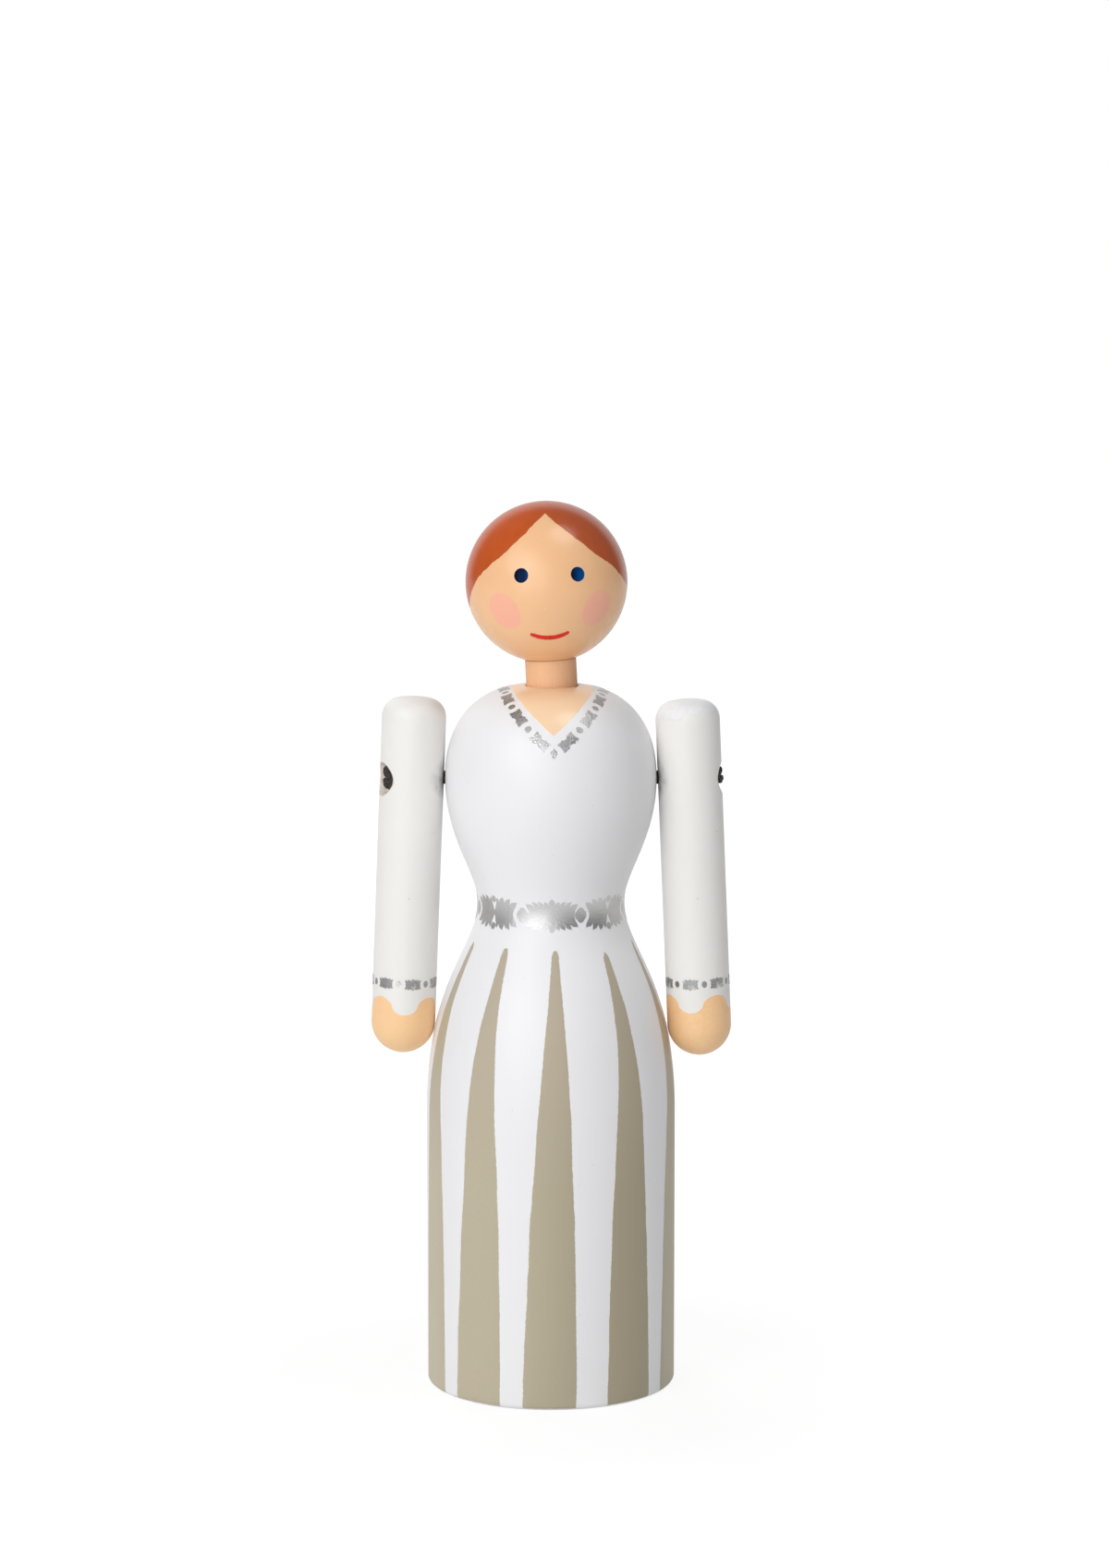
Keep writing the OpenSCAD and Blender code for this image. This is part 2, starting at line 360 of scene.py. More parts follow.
def drilling_tree():
    """Takes one drill out of the wood."""
    nodes, wood, tool = new_tree("drilled_wood", "Drilled", {"Wood": "Geometry", "Drill": "Object"})
    tool = nodes.add("GeometryNodeObjectInfo", {}, {"Object": tool}, output="Geometry")
    left = nodes.add("GeometryNodeMeshBoolean", {"operation": "DIFFERENCE", "solver": "MANIFOLD"},
                     {"Mesh 1": wood, "Mesh 2": tool})
    return end_tree(nodes, left)


def smoothed(nodes, piece, crisp):
    """Piece shaded smooth except at edges sharper than an angle."""
    piece = nodes.add("GeometryNodeSetShadeSmooth", {"domain": "FACE"}, {"Geometry": piece})
    sharp = nodes.add("GeometryNodeInputMeshEdgeAngle").math("GREATER_THAN", crisp)
    return nodes.add("GeometryNodeSetShadeSmooth", {"domain": "EDGE"},
                     {"Geometry": piece, "Selection": sharp, "Shade Smooth": False})


def painting_tree():
    """Smooths a piece and gives it its material."""
    nodes, piece, crisp, material = new_tree(
        "painted_piece", "Painted", {"Piece": "Geometry", "Crisp Angle": "Float", "Material": "Material"})
    return end_tree(nodes, smoothed(nodes, piece, crisp), material)


CRISP_ANGLE = math.radians(30)


def drill(piece, drills, material):
    """Piece with the drills taken out of it and painted, as one plain mesh. The drills are removed."""
    steps = [(drill_tree, {"Drill": one}) for one in drills]
    steps.append((paint_tree, {"Crisp Angle": CRISP_ANGLE, "Material": material}))
    for tree, values in steps:
        name, blank = piece.name, piece.data
        bpy.data.objects.remove(piece)
        piece = run_tree(name, blank, tree, values)
    for one in drills:
        bpy.data.objects.remove(one)
    return piece


turn_tree = turning_tree()
drill_tree = drilling_tree()
paint_tree = painting_tree()

WHITE = colour(243, 243, 245)
SKIN = colour(250, 198, 150)
BEECH = colour(205, 166, 122)
BEECH_DARK = colour(168, 124, 84)
SPECK = colour(206, 184, 160)

# Stripes as turns from the front to the doll's left, in degrees, at the tip and at the foot. The one at
# the back is given on both sides of the half turn.
STRIPES = [(2.9, -0.8), (39.2, 39.1), (76.8, 73.3), (111.5, 108.5), (146.5, 144.5), (181.5, 179),
           (-178.5, -181), (-142.5, -144.5), (-106, -108), (-68.4, -70), (-32.3, -36.2)]
STRIPE_TIP_Z = 86.5
STRIPE_LATE = 0.9
STRIPE_FOOT_Z = 0.45
STRIPE_TIP_TURN = 4.0
STRIPE_SPREAD = 0.42
STRIPE_EASE = 0.0021
STRIPE_BLUNT = 1.2
# Turn at which the beige is painted lightest, as painted light, and turn beyond which it is painted paler
# towards the sides, as painted sheen
STRIPE_LIT_TURN = -52
STRIPE_SHEEN_TURN = 60
NECKLINE_TIP_Z = 127.2
NECKLINE_MIDDLE_X = 0.5
NECKLINE_SPREAD = 1.2
NECKLINE_EASE = 0.02
NECKLINE_BACK_R = 7.9
PAINT_STEP = 0.045
PAINT_IOR = 1.47
UNDERSIDE_R = 22.2


def paint_grain(nodes, place):
    """Height of the paint's own surface in millimetres: fine peel over faint wood grain."""
    peel = nodes.noise(place, 0.35, 1.0)
    fibre = nodes.noise(place, 0.5, 3.0, stretch=(1, 1, 0.06))
    lumps = nodes.noise(place, 3.5, 1.0)
    return peel * 0.003 + fibre * 0.004 + lumps * 0.012


def specks(nodes, place, cell=2.6, radius=0.1, share=0.24):
    """Mask of the few small pinholes in the paint."""
    dots = nodes.add("ShaderNodeTexVoronoi", {}, {"Vector": place, "Scale": 1 / cell}).socket.node
    near = Wire(nodes, dots.outputs["Distance"])
    lot = nodes.add("ShaderNodeSeparateColor", {}, {"Color": Wire(nodes, dots.outputs["Color"])})
    chosen = lot.math("LESS_THAN", share)
    return edge(radius - near * cell, 0.1) * chosen


def set_height(nodes, shader, height):
    """Bump from a height in millimetres."""
    bump = nodes.add("ShaderNodeBump", {}, {"Height": height, "Distance": MM, "Strength": 1.0})
    nodes.feed(shader, {"Normal": bump})


def coat(nodes, shader, shade, rough, height):
    """Satin paint of a colour and roughness, with its height in millimetres."""
    nodes.feed(shader, {"Base Color": shade, "Roughness": rough, "IOR": PAINT_IOR})
    set_height(nodes, shader, height)


def bare_wood(nodes, place):
    """Colour of turned beech: growth lines, short dark flecks and a little shade."""
    lines = nodes.noise(place, 0.7, 4.0, stretch=(1, 1, 0.05))
    fleck = nodes.noise(place, 0.3, 2.0, stretch=(1, 1, 0.2))
    grain = (lines * 0.7 + fleck * 0.5 - 0.1).clamped()
    return nodes.mix(grain, BEECH_DARK, BEECH)


def body_paint():
    material, nodes, shader = new_material("painted_body")
    place = nodes.millimetres()
    x, y, z = nodes.split(place)
    radius = (x * x + y * y).math("SQRT")
    turned = x.math("ARCTAN2", -y) * math.degrees(1)

    # The second stripe starts a little lower than the others
    late = abs(turned - STRIPES[1][0]).math("LESS_THAN", 15) * STRIPE_LATE
    below = STRIPE_TIP_Z - z - late
    half = (STRIPE_TIP_TURN + below * STRIPE_SPREAD - below * below * STRIPE_EASE) / 2
    blunt = (below / STRIPE_BLUNT).clamped().math("POWER", 0.5)
    nearest = None
    for tip, foot in STRIPES:
        aside = abs(turned - (tip + below * ((foot - tip) / STRIPE_TIP_Z)))
        nearest = nearest.math("MINIMUM", aside) if nearest else aside
    wobble = (nodes.noise(place, 0.8, 3.0) - 0.5) * (0.28 + edge(0.9 - below, 1.2) * 0.5)
    wobble = wobble + (nodes.noise(place, 9.0) - 0.5) * 0.5
    inside = (half * blunt - nearest) * radius * math.radians(1) + wobble
    stripe = edge(inside, 0.12) * edge(z - STRIPE_FOOT_Z, 0.2) * edge(below, 0.2)

    rise = z - NECKLINE_TIP_Z
    front = rise * NECKLINE_SPREAD - rise * rise * NECKLINE_EASE - abs(x - NECKLINE_MIDDLE_X)
    behind = edge(y, 1.5)
    bare = front * 0.7 * (1 - behind) + (NECKLINE_BACK_R - radius) * behind
    bare = bare + (nodes.noise(place, 1.2) - 0.5) * 0.18
    neckline = edge(bare, 0.12)

    in_neck_hole = edge(NECK_HOLE_R + 0.7 - radius, 0.1) * edge(BODY_TOP - 0.2 - z, 0.1)
    from_cord = (y * y + (z - BUST_Z) * (z - BUST_Z)).math("SQRT")
    in_cord_hole = edge(CORD_HOLE_R + 0.05 - from_cord, 0.1)
    ragged = (nodes.noise(place, 3.0, 4.0) - 0.5) * 2.4
    under = edge(UNDERSIDE_R - radius + ragged, 0.3) * edge(0.05 - z, 0.05)
    wood = under.math("MAXIMUM", in_neck_hole).math("MAXIMUM", in_cord_hole)

    white = nodes.mix(nodes.noise(place, 14.0) * 0.5, WHITE, colour(239, 239, 241))
    white = nodes.mix(specks(nodes, place) * 0.7, white, SPECK)
    # The beige is painted lighter on the doll's right, towards the lamps, and darker on its left: painted
    # light and shade. Towards the sides seen from the front it is painted paler: painted sheen.
    stripe_lit = ((turned - STRIPE_LIT_TURN) * math.radians(2)).math("COSINE") * 0.5 + 0.5
    beige = nodes.mix(stripe_lit, colour(175, 165, 141), colour(198, 188, 164))
    beige = nodes.mix(edge(abs(turned) - STRIPE_SHEEN_TURN, 14.0), beige, colour(203, 195, 172))
    beige = nodes.mix(nodes.noise(place, 0.5, 3.0) * 0.35, beige, colour(174, 163, 137))
    beige = nodes.mix((1 - below / 45).clamped(), beige, colour(187, 175, 155))
    shade = nodes.mix(stripe, white, beige)
    shade = nodes.mix(neckline, shade, colour(255, 220, 182))
    rings = nodes.add("ShaderNodeTexWave", {"wave_type": "RINGS", "rings_direction": "Z"},
                      {"Vector": nodes.vector("ADD", place, (34.0, -19.0, 0)), "Scale": 0.15,
                       "Distortion": 1.6, "Detail": 3.0, "Detail Scale": 0.12})
    end_grain = nodes.mix(rings * 0.6, BEECH, BEECH_DARK)
    shade = nodes.mix(wood, shade, nodes.mix(under, bare_wood(nodes, place), end_grain))
    # The neck hole's bevel and wall are painted nearly black: painted shade in the gap round the neck
    # dowel.
    shade = nodes.mix(in_neck_hole * 0.8, shade, colour(58, 38, 28))

    rough = 0.4 + stripe * 0.12 - neckline * 0.2 + wood * 0.25
    rough = rough + (nodes.noise(place, 1.1, 3.0) - 0.5) * 0.07
    coat(nodes, shader, shade, rough,
         paint_grain(nodes, place) + stripe * PAINT_STEP + neckline * 0.02 - wood * 0.05)
    return material


def body_outline():
    """Half section of the body, from the middle of its foot to the middle of its top."""
    skirt = (SKIRT_R, SKIRT_STRAIGHT)
    waist = (WAIST_R, WAIST_Z)
    bust = (BUST_R, BUST_Z)
    collar = (NECK_HOLE_R + COLLAR_BEVEL, BODY_TOP)
    flat_r = collar[0] + (BUST_R - NECK_HOLE_R) * DOME_FLAT_SHARE
    return (line_points((0, 0), (SKIRT_R - BASE_EDGE_R, 0), 16)
            + round_points((SKIRT_R - BASE_EDGE_R, BASE_EDGE_R), BASE_EDGE_R, -90, 0, 8)
            + line_points((SKIRT_R, BASE_EDGE_R), skirt, 60)
            + curve_points(skirt, (SKIRT_R, SKIRT_STRAIGHT + SKIRT_TAPER * SKIRT_OUT_SHARE),
                           (WAIST_R, WAIST_Z - SKIRT_TAPER * WAIST_IN_SHARE), waist, 64)
            + curve_points(waist, (WAIST_R, WAIST_Z + BUST_RISE * WAIST_OUT_SHARE),
                           (BUST_R, BUST_Z - BUST_RISE * BUST_IN_SHARE), bust, 44)
            + curve_points(bust, (BUST_R, BUST_Z + DOME_RISE * BUST_OUT_SHARE), (flat_r, BODY_TOP),
                           collar, 48)
            + line_points(collar, (0, BODY_TOP), 6) + [(0, BODY_TOP)])


neck_place = (Matrix.Translation(Vector((NECK_SHIFT, 0, BODY_TOP)) * MM)
              @ Matrix.Rotation(-NECK_LEAN, 4, "Y"))
paint = body_paint()
body = turn("body_turned", body_outline(), around=256)
neck_drill = turn("neck_drill", [(0, -NECK_HOLE_DEPTH), (NECK_HOLE_R, -NECK_HOLE_DEPTH),
                                 (NECK_HOLE_R, PAST), (0, PAST)], place=neck_place)
bevel_low = BODY_TOP - 2 * COLLAR_BEVEL
collar_drill = turn("collar_drill",
                    [(0, bevel_low), (NECK_HOLE_R - COLLAR_BEVEL, bevel_low),
                     (NECK_HOLE_R + COLLAR_BEVEL + PAST, BODY_TOP + PAST), (0, BODY_TOP + PAST)],
                    place=Matrix.Translation((NECK_SHIFT * MM, 0, 0)))
cord_drill = turn("cord_drill", [(0, -BUST_R - PAST), (CORD_HOLE_R, -BUST_R - PAST),
                                 (CORD_HOLE_R, BUST_R + PAST), (0, BUST_R + PAST)], around=64,
                  place=Matrix.Translation((0, 0, BUST_Z * MM)) @ Matrix.Rotation(math.pi / 2, 4, "Y"))
body = drill(body, [neck_drill, collar_drill, cord_drill], paint)
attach(body, "torso")
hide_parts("body")

# The neck dowel.
# A plain 10 mm beech dowel, sanded and wiped with thin skin-coloured stain, glued into the head. A
# groove near its foot runs on a pin, which keeps it in the body.
NECK_SHOW = 4.3
SOCKET_DEPTH = 11.0
HEAD_R = 15.3
HEAD_FOOT = NECK_SHOW + HEAD_R - math.sqrt(HEAD_R ** 2 - NECK_R ** 2)
DOWEL_PLAY = 0.3
DOWEL_LOW = DOWEL_PLAY - NECK_HOLE_DEPTH
DOWEL_TOP = NECK_SHOW + SOCKET_DEPTH
DOWEL_CHAMFER = 0.4
DOWEL_SPAN = 0.5
GROOVE_RISE = 5.2
GROOVE_Z = GROOVE_RISE - NECK_HOLE_DEPTH
GROOVE_HALF = 1.15
GROOVE_DEPTH = 1.3
GROOVE_R = NECK_R - GROOVE_DEPTH


def dowel_stain():
    material, nodes, shader = new_material("stained_dowel")
    place = nodes.millimetres(centre=(NECK_SHIFT * MM, 0, BODY_TOP * MM), lean=-NECK_LEAN)
    _, _, z = nodes.split(place)
    fibre = nodes.noise(place, 0.4, 4.0, stretch=(1, 1, 0.05))
    fleck = nodes.noise(place, 0.18, 1.0, stretch=(1, 1, 0.12))
    dark = ((fleck - 0.6) * 6).clamped() * 0.22
    shade = nodes.mix(fibre, colour(241, 191, 147), colour(247, 200, 158))
    shade = nodes.mix(dark, shade, colour(214, 156, 110))
    low_end = edge(-0.3 - z, 0.3)
    shade = nodes.mix(low_end, shade, bare_wood(nodes, place))
    seam = edge(z - HEAD_FOOT + 0.15, 0.1)
    shade = nodes.mix(seam * 0.6, shade, colour(120, 80, 52))
    nodes.feed(shader, {"Base Color": shade, "Roughness": 0.55 + fibre * 0.12})
    set_height(nodes, shader, fibre * 0.025 + fleck * 0.008)
    return material


groove_low, groove_high = GROOVE_Z - GROOVE_HALF, GROOVE_Z + GROOVE_HALF
dowel_outline = ([(0, DOWEL_LOW), (NECK_R - DOWEL_CHAMFER, DOWEL_LOW),
                  (NECK_R, DOWEL_LOW + DOWEL_CHAMFER), (NECK_R, groove_low), (GROOVE_R, groove_low),
                  (GROOVE_R, groove_high), (NECK_R, groove_high)]
                 + line_points((NECK_R, groove_high + DOWEL_SPAN), (NECK_R, DOWEL_TOP - DOWEL_SPAN), 24)
                 + [(NECK_R, DOWEL_TOP - DOWEL_CHAMFER), (NECK_R - DOWEL_CHAMFER, DOWEL_TOP),
                    (0, DOWEL_TOP)])
dowel = drill(turn("neck_dowel_turned", dowel_outline, place=neck_place, around=128), [], dowel_stain())
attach(dowel, "head")
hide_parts("neck_dowel")

# The neck pin.
# A plain ground steel pin, set in from the back and painted over. It keeps its solid.


def ground_steel():
    material, nodes, shader = new_material("ground_steel")
    place = nodes.millimetres()
    scratch = nodes.noise(place, 0.15, 3.0, stretch=(1, 0.05, 1))
    nodes.feed(shader, {"Base Color": nodes.mix(scratch, colour(150, 150, 153), colour(190, 190, 194)),
                        "Metallic": 1.0, "Roughness": 0.25 + scratch * 0.2})
    set_height(nodes, shader, scratch * 0.003)
    return material


pin_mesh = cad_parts["neck_pin"].data
pin_mesh.materials.clear()
pin_mesh.materials.append(ground_steel())

# The head.
# A turned ball with two eyes drilled into it. Skin, cheeks, mouth and the parted hair are painted,
# and the eyes are touched in with matt navy.
HEAD_CENTRE = neck_place @ (Vector((0, 0, NECK_SHOW + HEAD_R)) * MM)
HEAD_ROWS = 81
EYE_R = 1.3
EYE_DEPTH = 0.9
EYE_FLARE = 0.14
DRILL_POINT = 118
DRILL_TIP = math.tan(math.radians(DRILL_POINT / 2))
# Places on the head are turns from the front to the doll's left, and rises, in degrees
EYES = {"right": (-17.6, 9.9), "left": (23.2, 8.6)}
# How far each eye's painted shade reaches past its middle towards the doll's left, in millimetres
EYE_SHADE_SHIFTS = {"right": 0.7, "left": 0.0}
HAIR_PARTING = 3.2
HAIR_LINE = [(-180, -36), (-150, -34), (-120, -27), (-98, -20.5), (-79.1, -13.1), (-71.3, -6.4),
             (-62.3, 2.7), (-52.7, 11.1), (-40.9, 19.4), (-27.9, 30.5), (-18, 40.8), (-7.7, 52),
             (2.6, 60.5), (3.8, 60.5), (14, 49.8), (22.3, 40.9), (32.1, 30.8), (44, 19.6), (55.7, 12),
             (66.7, 3.5), (77.9, -3), (86.3, -7.3), (100, -16), (122, -26), (150, -34), (180, -36)]
# Cheeks: place of the middle, and tilt. Their half lengths are degrees, too
CHEEKS = [((-33.2, -15.6), 29), ((39.4, -17.1), -29)]
CHEEK_LONG = 13.7
CHEEK_SHORT = 11.6
MOUTH_PLACE = (0.8, -38.1)
MOUTH_R = 8.6
MOUTH_HALF = 3.3
MOUTH_THICK = 0.57
MOUTH_TAPER = 0.014


def direction(place):
    """Unit vector to a place on the head, as turn to the doll's left and rise, in degrees."""
    across, up = [math.radians(part) for part in place]
    return Vector((math.sin(across) * math.cos(up), -math.cos(across) * math.cos(up), math.sin(up)))


def side_and_up(place):
    """Unit vectors to the doll's left and upwards along the head's surface at a place."""
    across, up = [math.radians(part) for part in place]
    side = Vector((math.cos(across), math.sin(across), 0))
    rise = Vector((-math.sin(across) * math.sin(up), math.cos(across) * math.sin(up), math.cos(up)))
    return side, rise


def along(nodes, place, axis):
    return nodes.vector("DOT_PRODUCT", place, tuple(axis), output="Value")


def head_paint():
    material, nodes, shader = new_material("painted_head")
    place = nodes.millimetres(centre=tuple(HEAD_CENTRE), lean=-NECK_LEAN)
    x, y, z = nodes.split(place)
    size = nodes.vector("LENGTH", place, output="Value")
    turned = x.math("ARCTAN2", -y) * math.degrees(1)
    rise = (z / size).math("ARCSINE") * math.degrees(1)
    waver = (nodes.noise(place, 1.3, 3.0) - 0.5) * 0.5

    points = [((a + 180) / 360, (b + 90) / 180, "VECTOR" if abs(a - HAIR_PARTING) < 1 else "AUTO")
              for a, b in HAIR_LINE]
    line = nodes.add("ShaderNodeFloatCurve", {"points": points}, {"Value": (turned + 180) / 360})
    hair_edge = (rise - (line * 180 - 90)) * (math.radians(1) * HEAD_R) * 0.75
    hair = edge(hair_edge + waver * 1.3, 0.14)

    cheeks = None
    for spot, tilt in CHEEKS:
        side, up = side_and_up(spot)
        lean = math.radians(tilt)
        short_axis = side * math.cos(lean) + up * math.sin(lean)
        long_axis = up * math.cos(lean) - side * math.sin(lean)
        short_r = HEAD_R * math.sin(math.radians(CHEEK_SHORT))
        long_r = HEAD_R * math.sin(math.radians(CHEEK_LONG))
        a = along(nodes, place, short_axis) / short_r
        b = along(nodes, place, long_axis) / long_r
        facing = along(nodes, place, direction(spot)).math("GREATER_THAN", 0)
        spot_mask = edge((1 - (a * a + b * b).math("SQRT")) * short_r + waver * 0.2, 0.12) * facing
        cheeks = cheeks.math("MAXIMUM", spot_mask) if cheeks else spot_mask

    side, up = side_and_up(MOUTH_PLACE)
    a = abs(along(nodes, place, side))
    b = along(nodes, place, up)
    arc = abs((a * a + (MOUTH_R - b) * (MOUTH_R - b)).math("SQRT") - MOUTH_R)
    end_rise = MOUTH_R - math.sqrt(MOUTH_R ** 2 - MOUTH_HALF ** 2)
    from_end = ((a - MOUTH_HALF) * (a - MOUTH_HALF) + (b - end_rise) * (b - end_rise)).math("SQRT")
    beyond = a.math("GREATER_THAN", (MOUTH_R - b) * (MOUTH_HALF / (MOUTH_R - end_rise)))
    lip = arc * (1 - beyond) + from_end * beyond
    facing = along(nodes, place, direction(MOUTH_PLACE)).math("GREATER_THAN", 0)
    ragged = (nodes.noise(place, 0.22, 2.0) - 0.5) * 0.42
    mouth = edge(MOUTH_THICK - a * a * MOUTH_TAPER - lip + ragged, 0.1) * facing

    eyes = eye_shade = None
    # Each eye's navy is painted darker on its side towards the doll's right: painted shade on the wall of
    # the drilled hole.
    for name, spot in EYES.items():
        out = along(nodes, place, direction(spot))
        left = edge(EYE_SHADE_SHIFTS[name] - along(nodes, place, side_and_up(spot)[0]) + waver, 1.3)
        aside = (size * size - out * out).math("MAXIMUM", 0).math("SQRT")
        hole = edge(EYE_R + 0.07 - aside, 0.06) * out.math("GREATER_THAN", 0)
        eyes = eyes.math("MAXIMUM", hole) if eyes else hole
        eye_shade = eye_shade.math("MAXIMUM", left * hole) if eye_shade else left * hole

    strand = nodes.noise(place, 1.6, 3.0, stretch=(1, 1, 0.35))
    skin = nodes.mix(nodes.noise(place, 5.0) * 0.35, SKIN, colour(244, 192, 144))
    skin = nodes.mix(specks(nodes, place, 3.2, 0.1, 0.25) * 0.5, skin, colour(205, 150, 105))
    shade = nodes.mix(cheeks, skin, colour(253, 184, 156))
    shade = nodes.mix(mouth, shade, colour(226, 26, 4))
    # The hair is painted duller and darker red towards the doll's left, away from the key lamp: painted
    # shade.
    auburn = nodes.mix(strand, colour(190, 81, 30), colour(202, 91, 38))
    auburn = nodes.mix(edge(x, 9.0), auburn, nodes.mix(strand, colour(180, 83, 44), colour(190, 92, 52)))
    shade = nodes.mix(hair, shade, auburn)
    navy = nodes.mix(eye_shade, colour(10, 82, 146), colour(30, 48, 84))
    shade = nodes.mix(eyes, shade, navy)
    rough = 0.26 - hair * 0.04 + mouth * 0.04
    rough = rough + (nodes.noise(place, 1.4, 2.0) - 0.5) * 0.05
    coat(nodes, shader, shade, rough,
         paint_grain(nodes, place) + hair * 0.035 + mouth * 0.03 + cheeks * 0.012)
    matt = nodes.add("ShaderNodeBsdfDiffuse", {}, {"Color": navy})
    both = nodes.add("ShaderNodeMixShader", {}, {0: eyes, 1: Wire(nodes, shader.outputs[0]), 2: matt})
    nodes.feed(material.node_tree.nodes["Material Output"], {"Surface": both})
    return material


def ball_tree():
    """Ball with even square faces."""
    nodes, _, radius, rows = new_tree("turned_ball", "Ball",
                                      {"Blank": "Geometry", "Radius": "Float", "Rows": "Int"})
    cube = nodes.add("GeometryNodeMeshCube", {},
                     {"Size": (2, 2, 2), "Vertices X": rows, "Vertices Y": rows, "Vertices Z": rows})
    flat = nodes.split(nodes.add("GeometryNodeInputPosition"))
    even = nodes.join(*[(part * (math.pi / 4)).math("TANGENT") for part in flat])
    place = nodes.scaled(nodes.vector("NORMALIZE", even), radius)
    ball = nodes.add("GeometryNodeSetPosition", {}, {"Geometry": cube, "Position": place})
    return end_tree(nodes, ball)


def eye_drill(name, spot):
    rim = math.sqrt(HEAD_R ** 2 - EYE_R ** 2)
    bottom = HEAD_R - EYE_DEPTH
    outline = [(0, bottom - EYE_R / DRILL_TIP), (EYE_R, bottom), (EYE_R, rim - EYE_FLARE * 0.6),
               (EYE_R + EYE_FLARE + PAST * 0.8, rim + EYE_FLARE * 0.4 + PAST), (0, rim + PAST * 1.06)]
    across, up = [math.radians(part) for part in spot]
    aim = Matrix.Rotation(across, 4, "Z") @ Matrix.Rotation(math.pi / 2 - up, 4, "X")
    return turn(name, outline, around=64, place=head_place @ aim)


head_place = neck_place @ Matrix.Translation((0, 0, (NECK_SHOW + HEAD_R) * MM))
head = run_tree("head_turned", bpy.data.meshes.new("head"), ball_tree(),
                {"Radius": HEAD_R * MM, "Rows": HEAD_ROWS})
head.data.transform(head_place)
socket_drill = turn("socket_drill", [(0, NECK_SHOW - PAST), (NECK_R, NECK_SHOW - PAST),
                                     (NECK_R, DOWEL_TOP), (0, DOWEL_TOP)], place=neck_place, around=128)
head = drill(head, [socket_drill] + [eye_drill(f"eye_{name}", spot) for name, spot in EYES.items()],
             head_paint())
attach(head, "head")
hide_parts("head")

# The arms.
# Two lengths of turned 12 mm beech dowel, round at the hand. White paint ends in four scallops above
# the skin-coloured hand. Each is drilled across for the cord, with a wider recess for its knot.
ARM_R = 6.1
ARM_GAP = 0.2
ARM_X = BUST_R + ARM_GAP + ARM_R
ARM_TOP_R = 3.6
CROWN_ANGLE = 78
crown = math.radians(CROWN_ANGLE)
CROWN_R = (ARM_R - ARM_TOP_R * (1 - math.cos(crown))) / math.cos(crown)
RECESS_R = 3.15
RECESS_DEPTH = 3.2
CUFF_Z = -39.0
SCALLOPS = 4
SCALLOP_RISE = 3.2
SCALLOP_SKEW = 0.4
SCALLOP_BLUNT = 0.55
# Reach and fade of the painted shade, with some black rubbed off the cord, round the inner end of each
# arm's cord hole
SHADE_AND_RUB_R = 2.9
SHADE_AND_RUB_FADE = 3.4
# Arm: side, length below and above the cord hole, skew of that hole, turn and height of its scallops,
# turn of its cuff, depth of its cap of rougher paint, mottling of its hand, and its knot's depth in the
# recess, height, width and dip in the middle
ARMS = {"right": {"side": -1, "hand": 47.0, "top": 15.5, "skew": 11, "scallop": 3.3, "hem": -44.95,
                  "cuff": -8.8, "cap": 0.0, "mottle": 0.35,
                  "sunk": 0.35, "raised": 0.2, "knot": 1.32, "dip": -1.2},
        "left": {"side": 1, "hand": 47.5, "top": 15.0, "skew": 0, "scallop": -16.6, "hem": -44.55,
                 "cuff": 10.4, "cap": 2.5, "mottle": 0.65,
                 "sunk": -0.35, "raised": 0.4, "knot": 1.0, "dip": -2.1}}
ARM_WHITE = colour(244, 242, 239)


def arm_place(arm):
    """Place of an arm: its own middle line, through the cord hole, leaning out as its solid does."""
    name = "right_arm" if arm["side"] < 0 else "left_arm"
    low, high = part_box(name)
    reach = max(-low.x, high.x) / MM
    lean = math.asin((reach - ARM_X - ARM_R) / arm["hand"])
    return (Matrix.Translation((arm["side"] * ARM_X * MM, 0, BUST_Z * MM))
            @ Matrix.Rotation(-arm["side"] * lean, 4, "Y")), lean


def hole_place(arm):
    """Place of an arm's cord hole, from the arm's inner side outwards."""
    skew = math.radians(arm["skew"])
    turned = -skew if arm["side"] > 0 else math.pi + skew
    return (Matrix.Translation((arm["side"] * (ARM_X - ARM_R) * MM, 0, BUST_Z * MM))
            @ Matrix.Rotation(turned, 4, "Z") @ Matrix.Rotation(math.pi / 2, 4, "Y"))


def hole_run(arm):
    """Length of an arm's cord hole with its recess."""
    return 2 * ARM_R * math.cos(math.radians(arm["skew"]))


def arm_outline(arm):
    """Half section of an arm, from the end of the hand to the top."""
    top = arm["top"]
    edge_z = top - CROWN_R * (1 - math.sin(crown)) - ARM_TOP_R * math.sin(crown)
    return (round_points((0, -arm["hand"]), ARM_R, -90, 0, 32)
            + line_points((ARM_R, -arm["hand"]), (ARM_R, edge_z), 90)
            + round_points((ARM_R - ARM_TOP_R, edge_z), ARM_TOP_R, 0, CROWN_ANGLE, 20)
            + round_points((0, top - CROWN_R), CROWN_R, CROWN_ANGLE, 90, 8) + [(0, top)])


